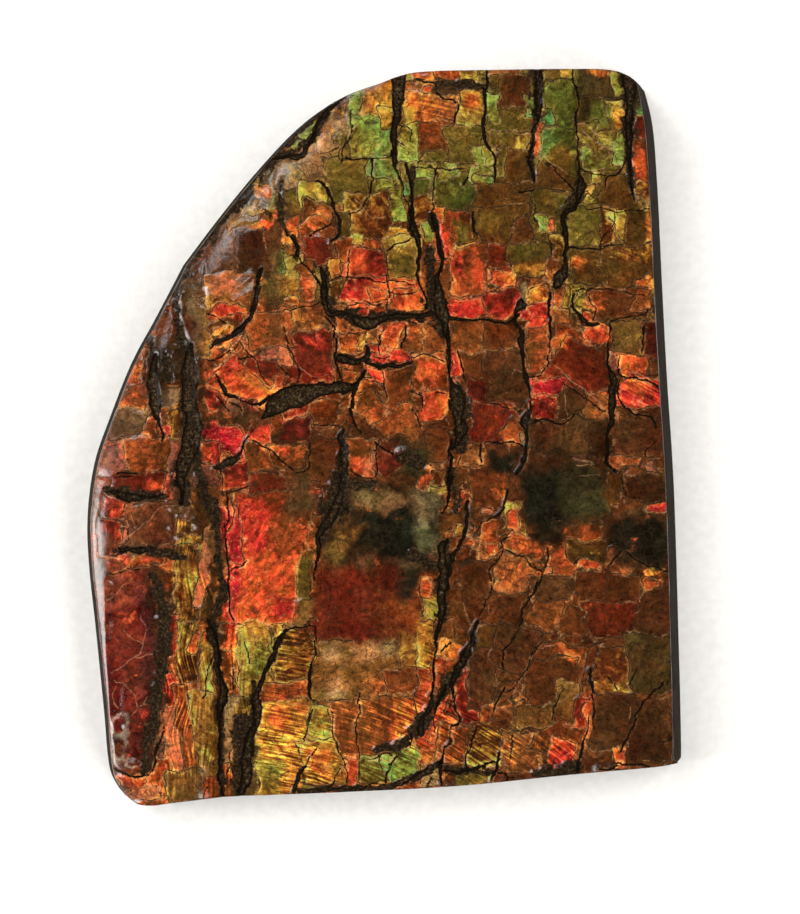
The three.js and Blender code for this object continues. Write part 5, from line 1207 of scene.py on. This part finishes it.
def solid_mesh(name, points, quads, back):
    """A mesh, in metres, of smooth quads and one flat face for the back."""
    mesh = bpy.data.meshes.new(name)
    mesh.vertices.add(len(points))
    mesh.vertices.foreach_set("co", (points * MM).astype(np.float32).ravel())
    corners = np.concatenate([quads.ravel(), back])
    starts = np.arange(len(quads) + 1) * 4
    mesh.loops.add(len(corners))
    mesh.loops.foreach_set("vertex_index", corners.astype(np.int32))
    mesh.polygons.add(len(starts))
    mesh.polygons.foreach_set("loop_start", starts.astype(np.int32))
    mesh.update(calc_edges=True)
    mesh.validate()
    mesh.polygons.foreach_set("use_smooth", np.arange(len(starts)) < len(quads))
    return mesh


def build_slab():
    """The face's grid, a band of rings round it for the sides, and the back, with the fields of
    the face stored for every point: those of the sides read 0, or FAR_JOINT for the joint."""
    grid_x, grid_y = face_grid()
    x, y = grid_x.ravel(), grid_y.ravel()
    z, shell = face_relief(x, y)
    index = np.arange(grid_x.size).reshape(grid_x.shape)
    border = np.concatenate([index[0, :-1], index[:-1, -1], index[-1, :0:-1], index[:0:-1, 0]])
    rings = side_rings(z[border])
    loop = len(border)
    ids = [border] + [grid_x.size + k * loop + np.arange(loop) for k in range(len(rings))]
    quads = [np.column_stack([index[:-1, :-1].ravel(), index[:-1, 1:].ravel(),
                              index[1:, 1:].ravel(), index[1:, :-1].ravel()])]
    for upper, lower in zip(ids, ids[1:]):
        quads.append(np.column_stack([lower, np.roll(lower, -1), np.roll(upper, -1), upper]))
    low, high = (np.array(corner) / MM for corner in CAD_BOX)
    points = np.clip(np.vstack([np.column_stack([x, y, z])] + rings), low, high)
    mesh = solid_mesh("ammolite_slab_dressed", points, np.vstack(quads), ids[-1][::-1])

    def whole(values, side=0.0):
        """Values on the face, and one value for all the points of the sides."""
        rest = np.full((len(points) - len(values),) + values.shape[1:], side)
        return np.concatenate([values, rest])

    for name in ("film", "life", "ribbed", "matrix", "rise", "crushed", "hollow", "bead", "flake"):
        store(mesh, name, whole(getattr(shell, name)))
    store(mesh, "joint", whole(shell.joint, FAR_JOINT))
    store(mesh, "ground", np.column_stack([whole(shell.ground), np.ones(len(points))]))
    for name, layers in (("crack", shell.crack), ("vein", shell.vein), ("seam", shell.seams)):
        for k, layer in enumerate(layers):
            store(mesh, f"{name}_{k}", whole(layer.T))
    below_lip = np.zeros(len(points))
    for ring in ids[1:]:
        below_lip[ring] = points[border, 2] - points[ring, 2]
    store(mesh, "below_lip", below_lip)
    store(mesh, "growth", growth_lines(points[:, 0], points[:, 1]))
    slab = bpy.data.objects.new("ammolite_slab_dressed", mesh)
    bpy.context.scene.collection.objects.link(slab)
    return slab


# ---- Materials ----

MIX, RAMP, RANGE = "ShaderNodeMix", "ShaderNodeValToRGB", "ShaderNodeMapRange"
NOISE, VORONOI, ATTRIBUTE = "ShaderNodeTexNoise", "ShaderNodeTexVoronoi", "ShaderNodeAttribute"
VECTOR, CHANNELS, BUMP = "ShaderNodeVectorMath", "ShaderNodeSeparateColor", "ShaderNodeBump"
PLACE, PARTS, PRINCIPLED = "ShaderNodeTexCoord", "ShaderNodeSeparateXYZ", "ShaderNodeBsdfPrincipled"


def adds_to(tree):
    """The one function that adds nodes to this tree."""
    def add(kind, *inputs, stops=None, **settings):
        """Adds a node: kind is its type, or what a Math node is to work out. Inputs fill its
        sockets in order, or by name where they are one dict. Each is a value, an sRGB hex colour,
        or the node or output that it is linked to. Stops fill a colour ramp with (place, sRGB hex
        or grey value)."""
        if not kind.startswith("ShaderNode"):
            kind, settings = "ShaderNodeMath", {"operation": kind}
        made = tree.nodes.new(kind)
        for name, value in settings.items():
            setattr(made, name, value)
        named = inputs[0] if inputs and isinstance(inputs[0], dict) else dict(enumerate(inputs))
        for socket, value in named.items():
            if isinstance(value, bpy.types.Node):
                value = value.outputs[2] if value.bl_idname == MIX else value.outputs[0]
            if isinstance(value, bpy.types.NodeSocket):
                tree.links.new(value, made.inputs[socket])
            else:
                value = (*linear(value), 1) if isinstance(value, str) else value
                made.inputs[socket].default_value = value
        if stops:
            elements = made.color_ramp.elements
            while len(elements) < len(stops):
                elements.new(0.5)
            for element, (place, colour) in zip(elements, stops):
                colour = linear(colour) if isinstance(colour, str) else (colour,) * 3
                element.position, element.color = place, (*colour, 1)
        return made
    return add


def nudged(add, value, *pushes):
    """value plus, for each (source, amount), the source less a half, times the amount."""
    for source, amount in pushes:
        centred = add("SUBTRACT", source, 0.5)
        value = add("MULTIPLY_ADD", centred, amount, value)
    return value


def laid(add, under, *layers, how="MIX"):
    """A colour with others mixed, or multiplied, over it in turn: (how much, colour) for each."""
    for amount, over in layers:
        under = add(MIX, {0: amount, 6: under, 7: over}, data_type="RGBA", blend_type=how)
    return under


def new_material(name):
    """A material with no nodes yet, and the function that adds them."""
    material = bpy.data.materials.new(name)
    material.use_nodes = True
    material.node_tree.nodes.clear()
    return material, adds_to(material.node_tree)


def nearest_line(add, name, count, shift):
    """Distance in mm to the edge of the nearest line kept in the layers of that name, negative
    inside it: the least over the layers of the distance from the line's middle, once shifted
    sideways, less its half width, plus FAR where a layer has no line."""
    least = None
    for k in range(count):
        field = add(ATTRIBUTE, attribute_name=f"{name}_{k}")
        signed, half, present = add(PARTS, field.outputs["Vector"]).outputs
        moved = add("ADD", signed, shift)
        away = add("ABSOLUTE", moved)
        edge = add("SUBTRACT", away, half)
        absent = add("MULTIPLY_ADD", present, -FAR, FAR)
        edge = add("ADD", edge, absent)
        least = edge if least is None else add("MINIMUM", least, edge)
    return least


def shell_patterns(add):
    """What the shell's colour and polish are made from: the mesh's fields, noises whose scales are
    in cells per millimetre, and the distances to cracks, seams and joints, in millimetres."""
    p = SimpleNamespace()
    for name, output in MESH_FIELDS.items():
        field = add(ATTRIBUTE, attribute_name=name)
        setattr(p, name, field.outputs[output])
    p.mm = add(VECTOR, add(PLACE).outputs["Object"], (1000, 1000, 1000), operation="MULTIPLY")
    shake_by = add(NOISE, {"Vector": p.mm, "Scale": 0.8, "Detail": 3}).outputs["Color"]
    p.shaken = add(VECTOR, shake_by, (0.9, 0.9, 0.9), p.mm, operation="MULTIPLY_ADD")
    # blotches of 2.2 mm, mottle of 0.7 mm, grains of 0.3 mm
    p.blotch = add(NOISE, {"Vector": p.mm, "Scale": 0.45, "Detail": 4, "Roughness": 0.6})
    p.fine = add(NOISE, {"Vector": p.mm, "Scale": 1.5, "Detail": 5, "Roughness": 0.72})
    p.grain = add(NOISE, {"Vector": p.shaken, "Scale": 3.2, "Detail": 3, "Roughness": 0.7})
    # each plate is streaked, and flaked in long facets, in a direction of its own
    flake_at = add(VECTOR, shake_by, (0.7, 0.7, 0), p.flake, operation="MULTIPLY_ADD")
    drawn = add(VECTOR, flake_at, (1.5, 0.85, 1), operation="MULTIPLY")
    p.streaks = add(NOISE, {"Vector": drawn, "Scale": 1, "Detail": 3, "Roughness": 0.6})
    # growth lines: a noise drawn out along arcs, its lines about 0.4 mm apart
    drawn = add(VECTOR, p.growth, (4, 0.3, 1), operation="MULTIPLY")
    lines = add(NOISE, {"Vector": drawn, "Scale": 1, "Detail": 1.5, "Distortion": 0.4})
    p.lines = add(RANGE, lines, 0.36, 0.64)
    fade = add(NOISE, {"Vector": p.mm, "Scale": 0.35, "Detail": 2})
    fade = add(RANGE, fade, 0.38, 0.56, 0.25, 1)
    p.ribs = add("MULTIPLY", p.ribbed, fade)
    # chips: four-sided fragments about a millimetre across
    p.chips_at = add(VECTOR, p.shaken, (0.9, 1.05, 0.2), operation="MULTIPLY")
    for name, place in (("flakes", flake_at), ("chips", p.chips_at)):
        cells = add(VORONOI, {"Vector": place, "Scale": 1, "Exponent": 4},
                    voronoi_dimensions="2D", distance="MINKOWSKI")
        setattr(p, name, add(CHANNELS, cells.outputs["Color"]).outputs)
    p.broken = add(RANGE, p.crushed, 0, 0.8, 0.2, 1)
    # lines run ragged, and break off at the chips
    p.shift = nudged(add, 0, (p.fine, 0.35), (p.chips[2], 0.22))
    p.edge = nudged(add, nearest_line(add, "crack", CRACK_LAYERS, p.shift), (p.grain, 0.22))
    p.seam_or_joint = add("MINIMUM", nudged(add, p.joint, (p.fine, 0.2)),
                          nearest_line(add, "seam", SEAM_LAYERS, p.shift))
    p.nearest = add("MINIMUM", p.seam_or_joint, p.edge)
    p.joint_line = add(RANGE, p.seam_or_joint, 0.04, 0.11, 1, 0)
    ragged = nudged(add, p.matrix, (p.fine, 1.1), (p.chips[2], 0.5))
    p.bare = add(RANGE, ragged, 0.42, 0.58)
    return p


def film_colour(add, p):
    """The colour of the thin film by its thickness: it jumps from plate to plate, moves towards
    green near the edges of a plate, which is a little domed, and runs along the growth lines."""
    hue = nudged(add, p.film, (p.blotch, 0.22))
    domed = add(RANGE, p.nearest, 0.05, 0.55, 1, 0)
    hue = add("MULTIPLY_ADD", domed, add(RANGE, p.streaks, 0.42, 0.6, 0, 0.17), hue)
    hue = nudged(add, hue, (p.lines, add("MULTIPLY", p.ribs, 0.34)), (p.flakes[1], 0.1),
                 (p.chips[1], add("MULTIPLY", p.broken, 0.16)))
    return add(RAMP, hue, stops=[(i / 8, colour) for i, colour in enumerate(FILM_COLOURS)])


def lit_rim_glow(add, p):
    """How much a point glows for being at the broken edge of a lively plate, the film's own brighter
    edge, painted brightest up the plate's tilt as painted light.
    """
    rim = add("MAXIMUM", add(RANGE, p.seam_or_joint, 0.08, 0.4, 1, 0),
              add(RANGE, p.edge, 0.05, 0.4, 1, 0))
    upper = add("MULTIPLY_ADD", p.rise, 0.5, p.streaks)
    rim = add("MULTIPLY", rim, add(RANGE, upper, 0.5, 0.9))
    return add("MULTIPLY", rim, add(RANGE, p.life, 0.1, 0.6))


def shell_colour(add, p):
    """The polished shell: where the film is whole it glows evenly, and where it is crushed or
    stained the dull ground shows, with chips, streaks, ridges, pits, joints, craze and veins."""
    disorder = nudged(add, 0, (p.streaks, 0.4), (p.blotch, 0.8), (p.fine, 0.6),
                      (p.flakes[0], 0.2), (p.lines, add("MULTIPLY", p.ribs, 0.7)),
                      (p.chips[0], add("MULTIPLY", p.broken, 0.5)))
    rim = lit_rim_glow(add, p)
    glow = add("ADD", disorder, p.life)
    glow = add("MULTIPLY_ADD", rim, 0.35, glow)
    alive = add(RANGE, glow, 0.32, 1.15)
    # the dull shell drifts between a rusty and a mossy brown over some millimetres
    drift = add(NOISE, {"Vector": p.mm, "Scale": 0.2, "Detail": 4, "Roughness": 0.6})
    drift = add(RAMP, drift, stops=[(0.38, "#FFD6BE"), (0.5, "#F6E8D6"), (0.62, "#DCE0C4")])
    shell = laid(add, p.ground, (1, drift), how="MULTIPLY")
    shell = laid(add, shell, (alive, film_colour(add, p)))
    # milky where the sheet is thick and dark where it is thin, but evenly lit where it is whole
    uneven = add(RANGE, alive, 0.1, 0.8, 1, 0.55)
    tone = add(RAMP, p.fine, stops=[(0.34, 0.42), (0.45, 0.82), (0.56, 1.02), (0.68, 1.3)])
    specks = add(RAMP, p.streaks, stops=[(0.34, 0.68), (0.5, 0.98), (0.66, 1.28)])
    ridges = add(RAMP, p.lines, stops=[(0.1, 0.52), (0.6, 1), (0.95, 1.5)])
    pits = add(RAMP, p.grain, stops=[(0.34, 0.5), (0.44, 0.94), (0.62, 1.26)])
    shell = laid(add, shell, (uneven, tone), (1, specks),
                 (p.broken, add(RANGE, p.chips[0], 0.1, 0.9, 0.58, 1.36)),
                 (1, add(RANGE, p.flakes[0], 0.1, 0.9, 0.8, 1.18)),
                 (1, laid(add, (1, 1, 1, 1), (p.ribs, ridges))), (uneven, pits), how="MULTIPLY")
    # pale: the rims of the film, painted brightest up each plate's tilt, painted glints of the film,
    # painted highlights along the broken edges of the plates, and flecks
    glint = add("MULTIPLY", alive, add(RANGE, p.streaks, 0.6, 0.72, 0, 0.45))
    pale = add("MAXIMUM", add("MULTIPLY", rim, 0.18), glint)
    edge_highlight = add("MULTIPLY", add(RANGE, p.nearest, 0.12, 0.28, 1, 0),
                  add(RANGE, p.streaks, 0.5, 0.62, 0, 0.42))
    edge_highlight = add("MULTIPLY", edge_highlight, add(RANGE, p.life, 0.05, 0.45, 0.12, 1))
    flecks = add("MULTIPLY", p.grain, add(RANGE, alive, 0, 0.4, 0.8, 1))
    flecks = add(RANGE, flecks, 0.6, 0.7, 0, 0.34)
    # hairline joints between the plates, some dark and some healed with pale calcite
    joint = add("MULTIPLY", p.joint_line, add(RANGE, p.fine, 0.4, 0.5, 0.3, 1))
    joint = add("MULTIPLY", joint, add(RANGE, p.blotch, 0.54, 0.6, 1, 0.3))
    filling = laid(add, PITCH, (add(RANGE, p.blotch, 0.54, 0.6), "#A97C54"))
    # and craze finer than the plates, mostly worn away
    craze = add(VORONOI, {"Vector": p.chips_at, "Scale": 1}, feature="DISTANCE_TO_EDGE")
    craze = add("MULTIPLY", add(RANGE, craze, 0.015, 0.05, 1, 0),
                add(RANGE, p.blotch, 0.43, 0.55, 0, 0.75))
    vein = add(RANGE, nearest_line(add, "vein", VEIN_LAYERS, p.shift), 0, 0.08, 1, 0)
    vein = add("MULTIPLY", vein, add(RANGE, p.fine, 0.4, 0.6, 0.1, 0.45))
    return laid(add, shell, (pale, "#C9925E"), (edge_highlight, "#CC9660"), (flecks, "#D99C66"),
                (joint, filling), (craze, PITCH), (vein, "#A87C5A"))


def slab_colour(add, p):
    """The shell, with bare rock and cracks in it, and the side below it."""
    # bare rock: black-brown with paler grains
    rock = add(RAMP, p.grain, stops=[(0.32, "#0E0905"), (0.5, "#1F160D"), (0.62, "#35281A"),
                                     (0.78, "#5C4932")])
    # the cracks: near-black edge, with rubble showing in the wide ones
    rubble = add(RAMP, p.grain, stops=[(0.36, "#0F0A06"), (0.5, "#241B11"), (0.6, "#413321"),
                                       (0.72, "#6A563A")])
    pit = laid(add, "#0F0A06", (add(RANGE, p.edge, -0.5, -0.12, 0.9, 0), rubble))
    crack = add(RANGE, p.edge, -0.05, 0.04, 1, 0)
    # the side: a thin edge of shell layers above dark bedded shale
    beds_at = add(VECTOR, p.shaken, (0.12, 0.12, 3.2), operation="MULTIPLY")
    beds = add(NOISE, {"Vector": beds_at, "Scale": 1, "Detail": 4, "Roughness": 0.6})
    shale = add(RAMP, beds, stops=[(0.3, "#0F0B08"), (0.5, "#1E1711"), (0.68, "#2E251B"),
                                   (0.8, "#463B2C")])
    shell_edge = add(RAMP, beds, stops=[(0.35, "#2A130A"), (0.55, "#5C3418"), (0.7, "#8A6030")])
    waver = nudged(add, p.below_lip, (p.blotch, 0.9))
    side = laid(add, shell_edge, (add(RANGE, waver, 0.5, 0.75), shale))
    return laid(add, shell_colour(add, p), (p.bare, rock), (crack, pit),
                (add(RANGE, p.below_lip, 0.02, 0.2), side))


def shell_material():
    """Ammolite: thin sheets of aragonite that colour light by interference, crazed and stained,
    over dark shale, under a clear hard polish. The eye sees dull brown ground, saturated plates
    whose hue jumps at each craze, near-black cracks and a wet gloss."""
    material, add = new_material("ammolite_shell")
    p = shell_patterns(add)
    # relief too fine for the mesh: crack walls, ribs, joints and a slightly uneven polish
    height = nudged(add, add(RANGE, p.edge, -0.12, 0.1),
                    (p.lines, add("MULTIPLY", p.ribs, 0.6)), (p.fine, 0.5),
                    (p.joint_line, -0.8))
    bump = add(BUMP, {"Height": height, "Strength": 0.5, "Distance": 0.0001})
    peel = nudged(add, p.blotch, (p.fine, 1.5))
    coat_bump = add(BUMP, {"Height": peel, "Strength": 0.25, "Distance": 0.0001})
    # the polish is missing on bare rock, down the side, in the hollows and in the cracks
    dulled = add("MULTIPLY", p.bare, 0.97)
    for missing in (add(RANGE, p.below_lip, 0.3, 1.2, 0, 0.93), p.hollow):
        dulled = add("MAXIMUM", dulled, missing)
    whole = add("SUBTRACT", 1, dulled)
    whole = add("MAXIMUM", whole, p.bead)
    gloss = add("MULTIPLY", add(RANGE, p.edge, 0, 0.4, 0.05, 0.8), whole)
    surface = add(PRINCIPLED, {
        "Base Color": slab_colour(add, p), "Roughness": 0.4, "Specular IOR Level": 0,
        "Coat Weight": gloss, "Coat Roughness": 0.08, "Coat IOR": 1.5, "Normal": bump,
        "Coat Normal": coat_bump})
    add("ShaderNodeOutputMaterial", surface)
    return material


def floor_material():
    """Matt paper sweep, pale warm grey, with a tooth of about a millimetre."""
    material, add = new_material("paper_sweep")
    place = add(PLACE).outputs["Object"]
    tooth = add(NOISE, {"Vector": place, "Scale": 900, "Detail": 2})
    tone = add(RAMP, tooth, stops=[(0.3, "#E4E1DC"), (0.7, "#ECE9E4")])
    paper = add(PRINCIPLED, {"Base Color": tone, "Roughness": 0.9, "Specular IOR Level": 0.2})
    add("ShaderNodeOutputMaterial", paper)
    return material


# ---- The slab, the floor, the lights and the camera ----

slab = build_slab()
slab.data.materials.append(shell_material())
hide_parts("ammolite_slab")
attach(slab, "root")

HALF_FLOOR = 1.2
floor_mesh = bpy.data.meshes.new("paper_floor")
floor_mesh.from_pydata([(x * HALF_FLOOR, y * HALF_FLOOR, 0)
                        for x, y in ((-1, -1), (1, -1), (1, 1), (-1, 1))], [], [(0, 1, 2, 3)])
floor = bpy.data.objects.new("paper_floor", floor_mesh)
floor_mesh.materials.append(floor_material())
bpy.context.scene.collection.objects.link(floor)


def soft_light(name, place, wide, tall, power, mirrored):
    """An oval softbox that faces the origin: place and sizes in metres, power in watts. A light
    that isn't mirrored lights the slab but stays out of the polish, as behind a polariser."""
    data = bpy.data.lights.new(name, "AREA")
    data.shape = "ELLIPSE"
    data.size, data.size_y, data.energy = wide, tall, power
    light = bpy.data.objects.new(name, data)
    light.location = place
    light.rotation_euler = Vector(place).to_track_quat("Z", "Y").to_euler()
    light.visible_glossy = mirrored
    bpy.context.scene.collection.objects.link(light)


soft_light("left_strip", (-1.2, -0.12, 0.36), 0.62, 0.8, 18, True)
soft_light("arc_softbox", (-0.64, 0.64, 0.86), 0.34, 0.34, 3, True)
soft_light("low_softbox", (0.62, -0.62, 0.88), 0.62, 0.62, 10, True)
soft_light("key_softbox", (-0.6, 0.4, 1.1), 1.1, 1.1, 12.5, False)
soft_light("fill_softbox", (0.8, 0.3, 1.1), 1.1, 1.1, 10, False)

world = bpy.data.worlds.new("soft_room")
bpy.context.scene.world = world
world.use_nodes = True
world.node_tree.nodes.clear()
add = adds_to(world.node_tree)
# The room is dark overhead, where the flat polished face mirrors it, and light at the walls.
sky = add(PARTS, add(PLACE).outputs["Generated"])
walls = add(RANGE, sky.outputs[2], 0.45, 0.85, 0.24, 0.03)
light = add("ShaderNodeBackground", {"Color": (0.86, 0.88, 0.9, 1), "Strength": walls})
add("ShaderNodeOutputWorld", light)

# The camera looks straight down on the lying slab; the frame's height covers VIEW_HEIGHT of it.
VIEW_CENTRE = (1.89, -2.3)
VIEW_HEIGHT = 107.9
LENS, SENSOR = 200.0, 36.0
camera = bpy.data.cameras.new("camera")
camera.lens = LENS
camera.sensor_width = SENSOR
camera_object = bpy.data.objects.new("camera", camera)
camera_object.location = (VIEW_CENTRE[0] * MM, VIEW_CENTRE[1] * MM,
                          (VIEW_HEIGHT * LENS / SENSOR + FACE_LEVEL) * MM)
bpy.context.scene.collection.objects.link(camera_object)
bpy.context.scene.camera = camera_object
bpy.context.scene.view_settings.view_transform = "Standard"
